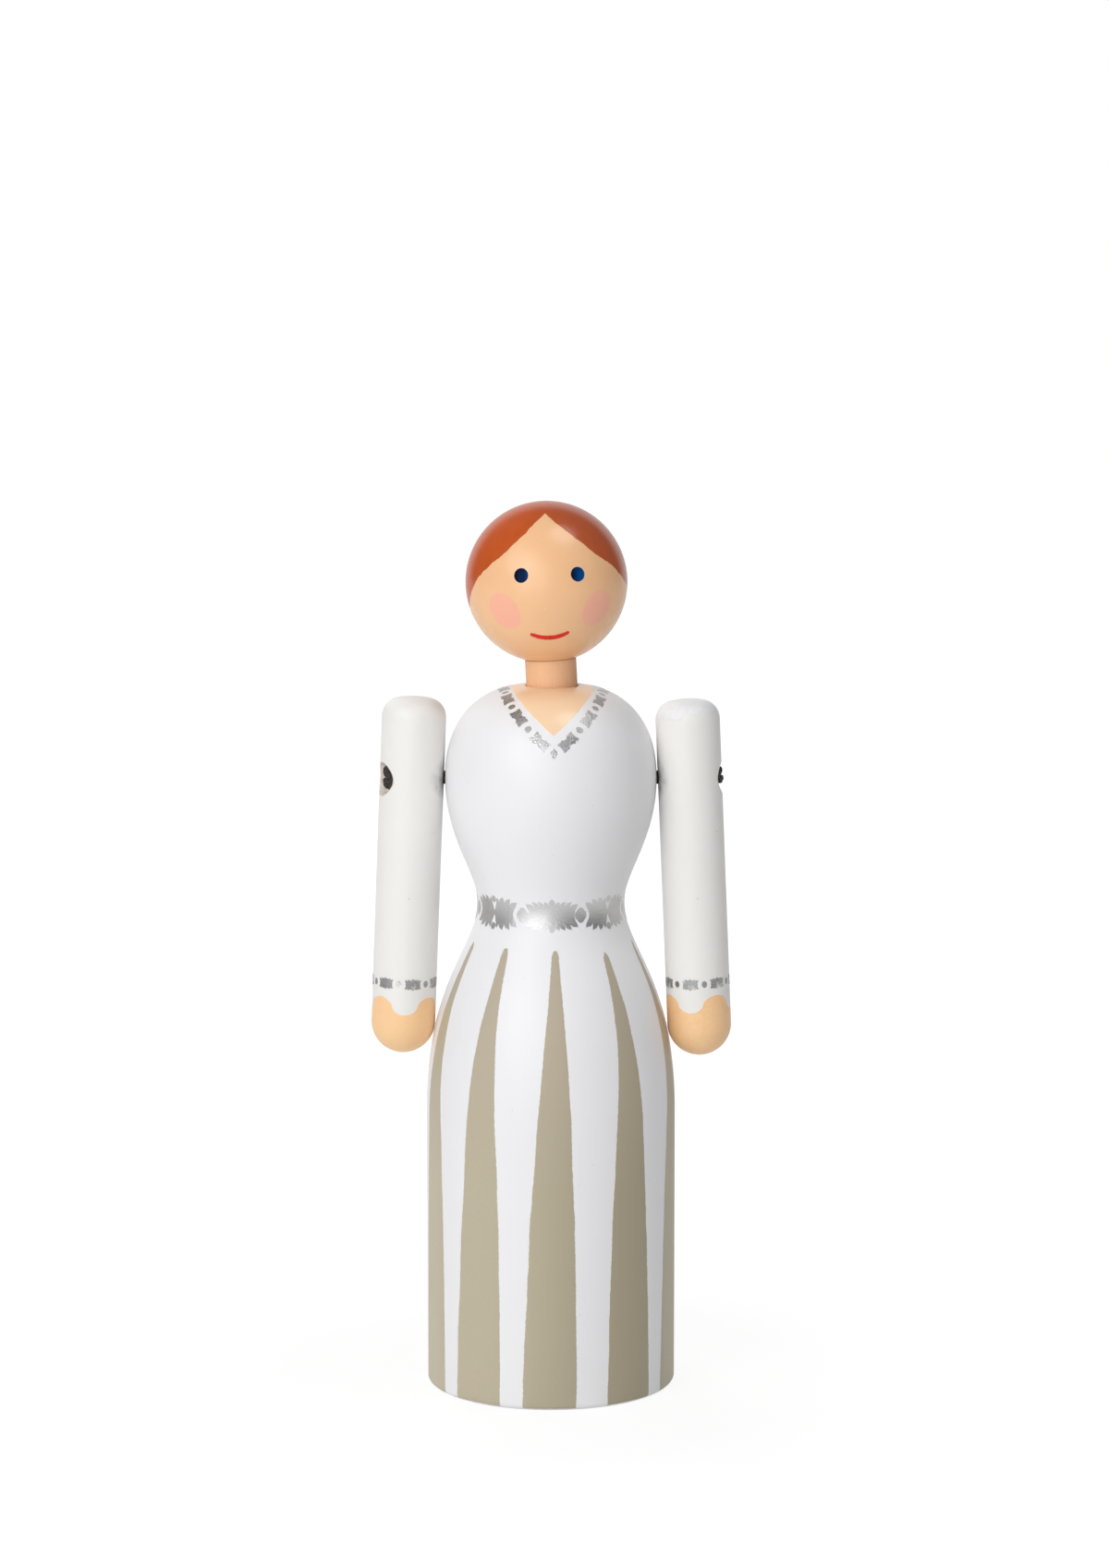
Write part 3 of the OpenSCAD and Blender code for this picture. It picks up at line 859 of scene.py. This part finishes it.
def arm_paint(name, arm, place, lean):
    material, nodes, shader = new_material(f"painted_{name}_arm")
    spot = nodes.millimetres(centre=tuple(place.translation), lean=-arm["side"] * lean)
    x, y, z = nodes.split(spot)
    turned = x.math("ARCTAN2", -y)

    swing = turned - math.radians(arm["scallop"])
    wave = (swing * SCALLOPS - swing.math("SINE") * SCALLOP_SKEW).math("COSINE") - 0.1
    lift = 0.5 - wave.math("SIGN") * (abs(wave) ** SCALLOP_BLUNT) / 2
    hem = lift * SCALLOP_RISE + arm["hem"]
    waver = (nodes.noise(spot, 1.6, 3.0) - 0.5) * 0.3
    hand = edge((hem - z + waver) * 0.5, 0.1)

    hole = hole_place(arm)
    axis = hole.to_3x3() @ Vector((0, 0, 1))
    from_hole = nodes.millimetres(centre=tuple(hole.translation))
    out = along(nodes, from_hole, axis)
    length = nodes.vector("LENGTH", from_hole, output="Value")
    aside = (length * length - out * out).math("MAXIMUM", 0).math("SQRT")
    outer = out.math("GREATER_THAN", ARM_R)
    torn = (nodes.noise(spot, 0.9, 3.0) - 0.45) * 0.4
    in_recess = edge(RECESS_R + 0.03 - aside, 0.06) * outer
    rim = edge(RECESS_R + 0.06 - aside + torn.math("MAXIMUM", 0), 0.08) * outer
    in_hole = edge(CORD_HOLE_R + 0.1 - aside, 0.1)
    worn = (nodes.noise(spot, 0.9, 4.0, stretch=(1, 1, 0.5)) * 3 - 1.35).clamped()

    cap = arm["cap"] * (0.85 + edge(-1.1 - x, 0.8) * 0.35 + nodes.noise(spot, 1.2, 3.0) * 0.3)
    top_coat = edge(z - arm["top"] + cap, 0.25)
    brushed = nodes.noise(spot, 0.55, 4.0, stretch=(1, 1, 0.5))
    # Painted shade, with some black rubbed off the cord, darkens the arm's inner side round the cord hole,
    # where the arm meets the body.
    shade_and_rub_patches = (nodes.noise(spot, 1.5) * 1.6 - 0.15).clamped()
    shade_and_rub = edge(SHADE_AND_RUB_R - aside, SHADE_AND_RUB_FADE) * out.math("LESS_THAN", ARM_R) * shade_and_rub_patches
    white = nodes.mix(nodes.noise(spot, 9.0) * 0.6, ARM_WHITE, colour(238, 237, 234))
    white = nodes.mix(top_coat, white, nodes.mix(brushed, colour(232, 233, 236), colour(247, 247, 248)))
    white = nodes.mix(specks(nodes, spot, 2.2, 0.12, 0.34) * 0.8, white, SPECK)
    blotch = (nodes.noise(spot, 0.8, 4.0) * 3 - 1.3).clamped() * arm["mottle"]
    skin = nodes.mix(blotch, colour(255, 211, 160), colour(255, 196, 140))
    shade = nodes.mix(hand, nodes.mix(shade_and_rub, white, colour(96, 92, 86)), skin)
    chips = nodes.mix(nodes.noise(spot, 0.4), colour(214, 182, 154), colour(178, 136, 104))
    wall = nodes.mix(worn, colour(250, 243, 235), colour(206, 184, 164))
    shade = nodes.mix(rim, shade, chips)
    shade = nodes.mix(in_recess, shade, wall)
    shade = nodes.mix(in_hole, shade, bare_wood(nodes, spot))
    rough = 0.44 - hand * 0.05 + rim * 0.2 + (nodes.noise(spot, 1.2, 3.0) - 0.5) * 0.08
    fibre = nodes.noise(spot, 0.6, 3.0, stretch=(1, 1, 0.05))
    coat(nodes, shader, shade, rough,
         paint_grain(nodes, spot) + fibre * 0.012 + hand * 0.025 + top_coat * (brushed * 0.09 + 0.016)
         - rim * 0.04 + in_recess * worn * 0.05)
    return material


def recess_drill(name, arm):
    """Drill of the cord hole with the knot's recess and its cone, along the hole."""
    floor_z = hole_run(arm) - RECESS_DEPTH
    cone_z = floor_z - (RECESS_R - CORD_HOLE_R) / DRILL_TIP
    outline = [(0, -2 * PAST), (CORD_HOLE_R, -2 * PAST), (CORD_HOLE_R, cone_z), (RECESS_R, floor_z),
               (RECESS_R, hole_run(arm) + 2 * PAST), (0, hole_run(arm) + 2 * PAST)]
    return turn(f"{name}_recess_drill", outline, around=96, place=hole_place(arm))


arm_pieces = {}
for name, arm in ARMS.items():
    place, lean = arm_place(arm)
    piece = turn(f"{name}_arm_turned", arm_outline(arm), place=place, around=160)
    piece = drill(piece, [recess_drill(name, arm)], arm_paint(name, arm, place, lean))
    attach(piece, f"{name}_arm")
    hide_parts(f"{name}_arm")
    arm_pieces[name] = piece

# The elastic cord.
# One black braided elastic runs through both arms and the bust, and is knotted in the recess on the
# outer side of each arm. Its two ends turn with the arms.
CORD_R = 1.3
CORD_REACH = 0.4
CORD_GAP = 0.1
KNOT_CORD_R = 0.83
KNOT_STRAIGHT = 5.2
BRAID_STEP = 0.09
BRAID_LAY = 1.5
BRAID_RELIEF = 0.16
BRAID_STRANDS = 6
# Route of a knotted end across the hole and out along it, from the recess's mouth. None stands for the
# arm's own dip
KNOT_ROUTE = [(0.1, 0.1, -3.7), (0.7, 0.5, -2.9), (1.2, -0.3, -2.4), (0.6, -1.25, -2.2),
              (-0.6, -1.3, -2.1), (-1.35, -0.4, -2.1), (-1.15, 0.85, -2.1), (-0.1, 1.4, -2.0),
              (0.9, 0.9, -1.8), (1.1, -0.2, -1.7), (0.3, -1.0, -1.7), (-0.7, -0.75, -1.2),
              (-1.05, 0.1, -1.1), (-0.8, 0.85, -1.6), (-0.1, 0.95, None), (0.6, 0.5, -1.2),
              (0.85, 0.05, -0.4)]


def braid_tree():
    """Round braid along a path: two sets of strands cross over and under round the cord."""
    nodes, path, radius, step, lay, relief, strands, sides, material = new_tree(
        "braided_cord", "Cord",
        {"Path": "Geometry", "Radius": "Float", "Step": "Float", "Lay": "Float", "Relief": "Float",
         "Strands": "Int", "Around": "Int", "Material": "Material"})
    path = nodes.add("GeometryNodeMeshToCurve", {}, {"Mesh": path})
    path = nodes.add("GeometryNodeCurveSplineType", {"spline_type": "CATMULL_ROM"}, {"Curve": path})
    path = nodes.add("GeometryNodeSetSplineResolution", {}, {"Geometry": path, "Resolution": 16})
    path = nodes.add("GeometryNodeResampleCurve", {"mode": "LENGTH"}, {"Curve": path, "Length": step})
    spent = nodes.add("GeometryNodeSplineParameter", output="Length")
    path = nodes.add("GeometryNodeStoreNamedAttribute", {},
                     {"Geometry": path, "Name": "along", "Value": spent})
    ring = nodes.add("GeometryNodeCurvePrimitiveCircle", {}, {"Resolution": sides, "Radius": radius})
    part = nodes.add("GeometryNodeSplineParameter", output="Factor")
    ring = nodes.add("GeometryNodeStoreNamedAttribute", {},
                     {"Geometry": ring, "Name": "around", "Value": part})
    cord = nodes.add("GeometryNodeCurveToMesh", {},
                     {"Curve": path, "Profile Curve": ring, "Fill Caps": True})
    run = nodes.add("GeometryNodeInputNamedAttribute", {}, {"Name": "along"}) / lay
    round_it = nodes.add("GeometryNodeInputNamedAttribute", {}, {"Name": "around"}) * strands
    first, second = round_it + run, round_it - run
    parity = (first.math("FLOOR") + second.math("FLOOR")).math("FLOORED_MODULO", 2)
    arch = [((one.math("FRACT") * 2 - 1) ** 2) for one in (first, second)]
    over = (1 - arch[0]) * (1 - parity) + (1 - arch[1]) * parity
    lift = nodes.scaled(nodes.add("GeometryNodeInputNormal"), (over - 1) * relief)
    cord = nodes.add("GeometryNodeSetPosition", {}, {"Geometry": cord, "Offset": lift})
    cord = nodes.add("GeometryNodeSetShadeSmooth", {}, {"Geometry": cord})
    return end_tree(nodes, cord, material)


def braid(name, route, radius, material):
    """Braided cord along a route in metres."""
    mesh = bpy.data.meshes.new(name)
    mesh.from_pydata(route, [(i, i + 1) for i in range(len(route) - 1)], [])
    return run_tree(name, mesh, cord_tree,
                    {"Radius": radius * MM, "Step": BRAID_STEP * MM, "Lay": BRAID_LAY * MM,
                     "Relief": BRAID_RELIEF * MM, "Strands": BRAID_STRANDS, "Around": 48,
                     "Material": material})


def elastic():
    material, nodes, shader = new_material("black_elastic")
    place = nodes.millimetres()
    fluff = nodes.noise(place, 0.25, 3.0)
    shade = nodes.mix(((fluff - 0.5) * 4).clamped(), colour(38, 34, 32), colour(112, 104, 96))
    nodes.feed(shader, {"Base Color": shade, "Roughness": 0.72 + fluff * 0.15})
    set_height(nodes, shader, nodes.noise(place, 0.07, 2.0) * 0.03)
    return material


cord_tree = braid_tree()
black = elastic()
reach = ARM_X - ARM_R + CORD_REACH
cord = braid("arm_cord_braid", [(x * MM, 0, BUST_Z * MM) for x in (-reach, -reach / 3, reach / 3, reach)],
             CORD_R, black)
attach(cord, "torso")
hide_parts("arm_cord")
for name, arm in ARMS.items():
    mouth = hole_run(arm) - arm["sunk"]
    low = CORD_REACH + CORD_GAP + CORD_R * math.sin(math.radians(arm["skew"]))
    wide = arm["knot"]
    route = [(0, 0, low), (0, 0, mouth - KNOT_STRAIGHT)]
    route += [(x * wide - arm["raised"], y * wide, mouth + (z or arm["dip"])) for x, y, z in KNOT_ROUTE]
    turned_route = [hole_place(arm) @ (Vector(point) * MM) for point in route]
    knot = braid(f"{name}_knot_braid", turned_route, KNOT_CORD_R * wide, black)
    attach(knot, f"{name}_arm")
    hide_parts(f"{name}_cord_knot")

# The silver print.
# A border of leaves, blossoms and dots runs round the waist, the neckline and both cuffs. It is
# printed in silver and stands a few hundredths of a millimetre proud of the paint.
PRINT_LIFT = 0.03
PRINT_SUNK = 0.01
PRINT_FRAY = 0.12
FRAY_GRAIN = 0.3
LATTICE = 0.5
LATTICE_RISE = 0.87


def bulge(start, end, share, out):
    """Point a share of the way along a line, and another share of its length to the left of it."""
    (ax, ay), (bx, by) = start, end
    return (ax + (bx - ax) * share - (by - ay) * out, ay + (by - ay) * share + (bx - ax) * out)


def serrate(notches, tips):
    """Leafy edge that runs from notch to notch over the leaf tip between each two of them."""
    points = []
    for low, tip, high in zip(notches, tips, notches[1:]):
        points += [low, bulge(low, tip, 0.45, 0.16), tip, bulge(high, tip, 0.5, -0.06)]
    return points + [notches[-1]]


def four_ways(quarter):
    """Whole outline from its upper right quarter, given from the middle line round to the side."""
    right = quarter + [(x, -y) for x, y in reversed(quarter) if y > 0]
    return right + [(-x, y) for x, y in reversed(right) if x > 0]


def ellipse(width, height, count=20):
    return [(width / 2 * math.cos(a), height / 2 * math.sin(a))
            for a in (2 * math.pi * i / count for i in range(count))]


def leafy(start, notches, tips, end):
    """Motif whose upper right quarter runs from its start over leaves to its end on the middle line."""
    return four_ways(start + serrate(notches, tips) + end)


def blossom(width, height, count=48):
    """Rosette of four petals."""
    points = []
    for i in range(count):
        a = 2 * math.pi * i / count
        petal = 0.84 + 0.16 * abs(math.cos(2 * a)) ** 0.7
        points.append((width / 2 * petal * math.cos(a), height / 2 * petal * math.sin(a)))
    return points


def inside(point, outline):
    """Whether a point lies inside an outline."""
    x, y = point
    crossed = False
    for (ax, ay), (bx, by) in zip(outline, outline[1:] + outline[:1]):
        if (ay > y) != (by > y) and x < ax + (bx - ax) * (y - ay) / (by - ay):
            crossed = not crossed
    return crossed


def flat_print(name, motifs):
    """Flat mesh of a border, in metres, from outlines moved along it. Small faces let it bend."""
    points, faces = [], []
    for outline, (across, up) in motifs:
        outline = [(x + across, y + up) for x, y in outline]
        xs = [x for x, _ in outline]
        ys = [y for _, y in outline]
        row = LATTICE * LATTICE_RISE
        lattice = [(x * LATTICE + (y % 2) * LATTICE / 2, y * row)
                   for x in range(math.floor(min(xs) / LATTICE), math.ceil(max(xs) / LATTICE))
                   for y in range(math.floor(min(ys) / row), math.ceil(max(ys) / row))]
        filled = [point for point in lattice if inside(point, outline)
                  and min(math.dist(point, rim) for rim in outline) > LATTICE * 0.45]
        spots = [Vector(point) for point in outline + filled]
        order = list(range(len(outline)))
        if sum(a[0] * b[1] - b[0] * a[1] for a, b in zip(outline, outline[1:] + outline[:1])) < 0:
            order.reverse()
        made = delaunay_2d_cdt(spots, [], [order], 1, 1e-5)
        faces += [[len(points) + i for i in face] for face in made[2]]
        points += [(spot.x * MM, spot.y * MM, 0) for spot in made[0]]
    mesh = bpy.data.meshes.new(name)
    mesh.from_pydata(points, [], faces)
    return mesh


def printing_tree():
    """Lays a flat border along a closed path on a surface and gives it its thickness."""
    nodes, border, path, surface, sunk, lift, fray, material = new_tree(
        "printed_border", "Print",
        {"Border": "Geometry", "Path": "Object", "Surface": "Object", "Sunk": "Float", "Lift": "Float",
         "Fray": "Float", "Material": "Material"})
    path = nodes.add("GeometryNodeObjectInfo", {}, {"Object": path}, output="Geometry")
    path = nodes.add("GeometryNodeMeshToCurve", {}, {"Mesh": path})
    surface = nodes.add("GeometryNodeObjectInfo", {}, {"Object": surface}, output="Geometry")
    place = nodes.add("GeometryNodeInputPosition")
    frays = nodes.add("ShaderNodeTexNoise", {},
                      {"Vector": place, "Scale": 1 / (FRAY_GRAIN * MM), "Detail": 2.0}, output="Color")
    frays = nodes.scaled(nodes.vector("SUBTRACT", frays, (0.5, 0.5, 0.5)), fray)
    run, up, _ = nodes.split(nodes.vector("ADD", place, frays))
    whole = nodes.add("GeometryNodeCurveLength", {}, {"Curve": path})
    spent = run.math("FLOORED_MODULO", whole)
    sample = nodes.add("GeometryNodeSampleCurve", {"mode": "LENGTH"},
                       {"Curves": path, "Length": spent}).socket.node
    spot, heading = [Wire(nodes, sample.outputs[name]) for name in ("Position", "Tangent")]
    normal = nodes.add("GeometryNodeInputNormal")
    facing = nodes.add("GeometryNodeSampleNearestSurface", {"data_type": "FLOAT_VECTOR"},
                       {"Mesh": surface, "Value": normal, "Sample Position": spot})
    upward = nodes.vector("NORMALIZE", nodes.vector("CROSS_PRODUCT", facing, heading))
    aimed = nodes.vector("ADD", spot, nodes.scaled(upward, up))
    laid = nodes.add("GeometryNodeProximity", {}, {"Geometry": surface, "Sample Position": aimed})
    outward = nodes.add("GeometryNodeSampleNearestSurface", {"data_type": "FLOAT_VECTOR"},
                        {"Mesh": surface, "Value": normal, "Sample Position": laid})
    sunken = nodes.vector("ADD", laid, nodes.scaled(outward, -sunk))
    foot = nodes.add("GeometryNodeSetPosition", {}, {"Geometry": border, "Position": sunken})
    top = nodes.add("GeometryNodeExtrudeMesh", {},
                    {"Mesh": foot, "Offset Scale": lift + sunk, "Individual": False})
    foot = nodes.add("GeometryNodeFlipFaces", {}, {"Mesh": foot})
    both = nodes.add("GeometryNodeJoinGeometry", {}, {"Geometry": [top, foot]})
    both = nodes.add("GeometryNodeMergeByDistance", {}, {"Geometry": both, "Distance": 1e-7})
    return end_tree(nodes, smoothed(nodes, both, CRISP_ANGLE), material)


def silver(name, wear, crumple):
    """Silver print. Wear runs from 0, whole, to 1, rubbed through in places. Crumple is in millimetres."""
    material, nodes, shader = new_material(name)
    place = nodes.millimetres()
    grain = nodes.noise(place, 0.12, 2.0)
    patch = nodes.noise(place, 1.6, 3.0)
    faded = (nodes.noise(place, 2.2) * 5 - 2.7).clamped()
    worn = (faded + nodes.noise(place, 0.16, 3.0) * 1.5 - 0.75).math("MULTIPLY", wear, clamp=True)
    dark, light = 176 - 70 * wear, 232 - 30 * wear
    shade = nodes.mix(grain, colour(*[dark] * 3), colour(*[light] * 3))
    shade = nodes.mix(worn, shade, ARM_WHITE)
    nodes.feed(shader, {"Base Color": shade, "Metallic": 1 - worn, "Roughness": 0.36 + grain * 0.14})
    set_height(nodes, shader, grain * 0.02 + nodes.noise(place, 0.4, 3.0) * crumple + patch * 0.05)
    return material


def print_border(name, motifs, path_points, surface, body_name, material):
    mesh = bpy.data.meshes.new(name + "_path")
    count = len(path_points)
    mesh.from_pydata([Vector(point) * MM for point in path_points],
                     [(i, (i + 1) % count) for i in range(count)], [])
    path = bpy.data.objects.new(name + "_path", mesh)
    bpy.context.scene.collection.objects.link(path)
    made = run_tree(name, flat_print(name, motifs), print_tree,
                    {"Path": path, "Surface": surface, "Sunk": PRINT_SUNK * MM, "Lift": PRINT_LIFT * MM,
                     "Fray": PRINT_FRAY * MM, "Material": material})
    bpy.data.objects.remove(path)
    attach(made, body_name)
    return made


print_tree = printing_tree()
silver_paint = silver("silver_print", 0.0, 0.03)
crumpled_silver = silver("crumpled_silver_print", 0.0, 0.11)
worn_silver = silver("worn_silver_print", 1.0, 0.03)

BELT_Z = 92.75
RING_STEPS = 240


def ring_points(radius, z):
    return [(radius * math.sin(a), -radius * math.cos(a), z)
            for a in (2 * math.pi * i / RING_STEPS for i in range(RING_STEPS))]


belt_cluster = leafy([(0, 3.35), (0.35, 3.05), (0.58, 2.55)],
                     [(0.5, 1.95), (1.35, 1.8), (2.3, 1.75), (3.25, 1.6), (4.45, 1.0)],
                     [(1.4, 2.8), (2.55, 2.85), (3.75, 2.75), (4.95, 2.2)], [(4.3, 0)])
belt_bow = leafy([(0, 0.3), (0.2, 0.75), (0.45, 1.5)],
                 [(0.62, 2.05), (1.35, 2.1), (2.6, 2.05), (3.75, 1.7), (4.75, 0.9)],
                 [(0.95, 2.95), (2.35, 3.25), (4.0, 3.05), (5.45, 2.4)], [(4.5, 0)])
belt_blossom = blossom(2.3, 2.9)
belt_dot = ellipse(1.15, 1.45)
BELT_BOW_TURNS = (49.5, 151.5, -49, -150.5)
BELT_DOT_RISE = 2.62
belt_motifs = [(belt_cluster, (turned, 0)) for turned in (0.8, 101, -100)]
belt_motifs += [(belt_bow, (turned, 0)) for turned in BELT_BOW_TURNS]
belt_motifs += [(belt_dot, (turned, up)) for turned in BELT_BOW_TURNS
                for up in (BELT_DOT_RISE, -BELT_DOT_RISE)]
belt_motifs += [(belt_blossom, (turned, 0)) for turned in (23.6, 76.5, 125.5, -22.4, -75.5, -124.5, 180)]
belt_motifs = [(outline, (turned * math.radians(WAIST_R), up)) for outline, (turned, up) in belt_motifs]
print_border("belt_print", belt_motifs, ring_points(WAIST_R, BELT_Z), body, "torso", silver_paint)

COLLAR_TIP_Z = 124.1
COLLAR_RISE = 10.4
COLLAR_MIDDLE_X = 0.6
COLLAR_BACK_R = 9.6
COLLAR_SPREAD = 1.2
COLLAR_EASE = 0.03


def dome_radius(z):
    """Radius of the body at a height above the waist."""
    above = [point for point in body_outline() if point[1] > WAIST_Z]
    for (low_r, low), (high_r, high) in zip(above, above[1:]):
        if low <= z <= high and high > low:
            return low_r + (high_r - low_r) * (z - low) / (high - low)
    return above[-1][0]


def collar_route():
    """Path of the collar's border: round behind the neck and in a point down the chest."""
    side = []
    for i in range(1, 90):
        rise = COLLAR_RISE * (i / 90) ** 1.5
        z = COLLAR_TIP_Z + rise
        x = rise * COLLAR_SPREAD - rise * rise * COLLAR_EASE + 0.35 * (1 - math.exp(-rise * 4))
        radius = dome_radius(z)
        if x > radius or math.hypot(x, math.sqrt(radius ** 2 - x ** 2)) < COLLAR_BACK_R:
            break
        side.append((x, -math.sqrt(radius ** 2 - x ** 2), z))
    turned = math.atan2(side[-1][0], -side[-1][1])
    back = [(COLLAR_BACK_R * math.sin(a), -COLLAR_BACK_R * math.cos(a), side[-1][2])
            for a in (turned + (2 * math.pi - 2 * turned) * i / 60 for i in range(1, 60))]
    tip = [(0, -dome_radius(COLLAR_TIP_Z), COLLAR_TIP_Z)]
    left = [(-x, y, z) for x, y, z in reversed(side)]
    return [(x + COLLAR_MIDDLE_X * (1 if y < 0 else 0), y, z) for x, y, z in tip + side + back + left]


collar_path = collar_route()
collar_length = sum(math.dist(a, b) for a, b in zip(collar_path, collar_path[1:] + collar_path[:1]))
COLLAR_FIRST = 3.5
COLLAR_BOWS = 12
collar_pitch = (collar_length - 2 * COLLAR_FIRST) / (COLLAR_BOWS - 1)
collar_bow = leafy([(0, 0.72), (0.3, 0.78)], [(0.45, 0.85), (1.1, 0.92), (1.85, 0.5)],
                   [(0.85, 1.12), (2.0, 1.02)], [(1.8, 0)])
collar_dot = ellipse(1.3, 1.4)
collar_tip = [(0, -1.25), (0.55, -0.35), (0.72, 0.1), (0.5, 0.6), (0, 1.1), (-0.5, 0.6), (-0.72, 0.1),
              (-0.55, -0.35)]
collar_motifs = [(collar_tip, (0, 0))]
for i in range(COLLAR_BOWS):
    middle = COLLAR_FIRST + collar_pitch * i
    collar_motifs.append((collar_bow, (middle, 0)))
    if i < COLLAR_BOWS - 1:
        collar_motifs.append((collar_dot, (middle + collar_pitch / 2, 0)))
print_border("collar_print", collar_motifs, collar_path, body, "torso", crumpled_silver)

CUFF_MOTIFS = 7
cuff_pitch = 2 * math.pi * ARM_R / CUFF_MOTIFS
cuff_block = leafy([(0, 1.15), (0.16, 1.05), (0.2, 0.85)],
                   [(0.14, 0.72), (0.55, 0.75), (1.0, 0.7), (1.4, 0.35)],
                   [(0.5, 0.97), (1.0, 1.0), (1.6, 0.85)], [(1.45, 0)])
cuff_dot = ellipse(1.05, 1.3)
for name, arm in ARMS.items():
    start = math.radians(arm["cuff"]) * ARM_R
    cuff_motifs = []
    for i in range(CUFF_MOTIFS):
        spot = start + cuff_pitch * i
        cuff_motifs += [(cuff_dot, (spot, 0)), (cuff_block, (spot + cuff_pitch / 2, 0))]
    place, _ = arm_place(arm)
    ring = [(place @ (Vector(point) * MM)) / MM for point in ring_points(ARM_R, CUFF_Z)]
    print_border(f"{name}_cuff_print", cuff_motifs, ring, arm_pieces[name], f"{name}_arm", worn_silver)

# The lights.
# Four soft, round lamps stand a metre off: two in front on the doll's right, one high on its left and
# one behind on its right, which doesn't show in the gloss. The white room does, bright at the back.
# Lamp: turn from the front to the doll's left, height, in degrees, size in metres, and power in watts
LAMPS = {"key": (-42, 33, 0.7, 2.4), "overhead": (60, 70, 0.5, 2.1), "front_fill": (-22, 15, 0.9, 4.2),
         "back_left": (-150, 35, 0.8, 4.0)}
LAMP_AIM = Vector((0, 0, 0.09))
ROOM_FILL = 0.25
ROOM_FRONT = 0.12
ROOM_BACK = 0.85
ROOM_BACK_FROM = 0.71
ROOM_BACK_SOFT = 0.12
for name, (turned, rise, size, power) in LAMPS.items():
    data = bpy.data.lights.new(name, "AREA")
    data.shape = "DISK"
    data.size = size
    data.energy = power
    lamp = bpy.data.objects.new(name, data)
    toward = direction((turned, rise))
    lamp.location = LAMP_AIM + toward
    lamp.rotation_euler = toward.to_track_quat("Z", "Y").to_euler()
    lamp.visible_glossy = name != "back_left"
    bpy.context.scene.collection.objects.link(lamp)

world = bpy.data.worlds.new("white_room")
bpy.context.scene.world = world
world.use_nodes = True
room = Nodes(world.node_tree)
camera_ray, gloss_ray, glass_ray = ray_kinds(room)
gloss_ray = gloss_ray.math("MAXIMUM", glass_ray)
_, back, _ = room.split(room.add("ShaderNodeTexCoord", output="Generated"))
gloss = ROOM_FRONT + edge(back - ROOM_BACK_FROM, ROOM_BACK_SOFT) * (ROOM_BACK - ROOM_FRONT)
strength = camera_ray + (1 - camera_ray) * (gloss_ray * gloss + (1 - gloss_ray) * ROOM_FILL)
room.feed(world.node_tree.nodes["Background"], {"Color": grey(1), "Strength": strength})

low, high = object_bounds()
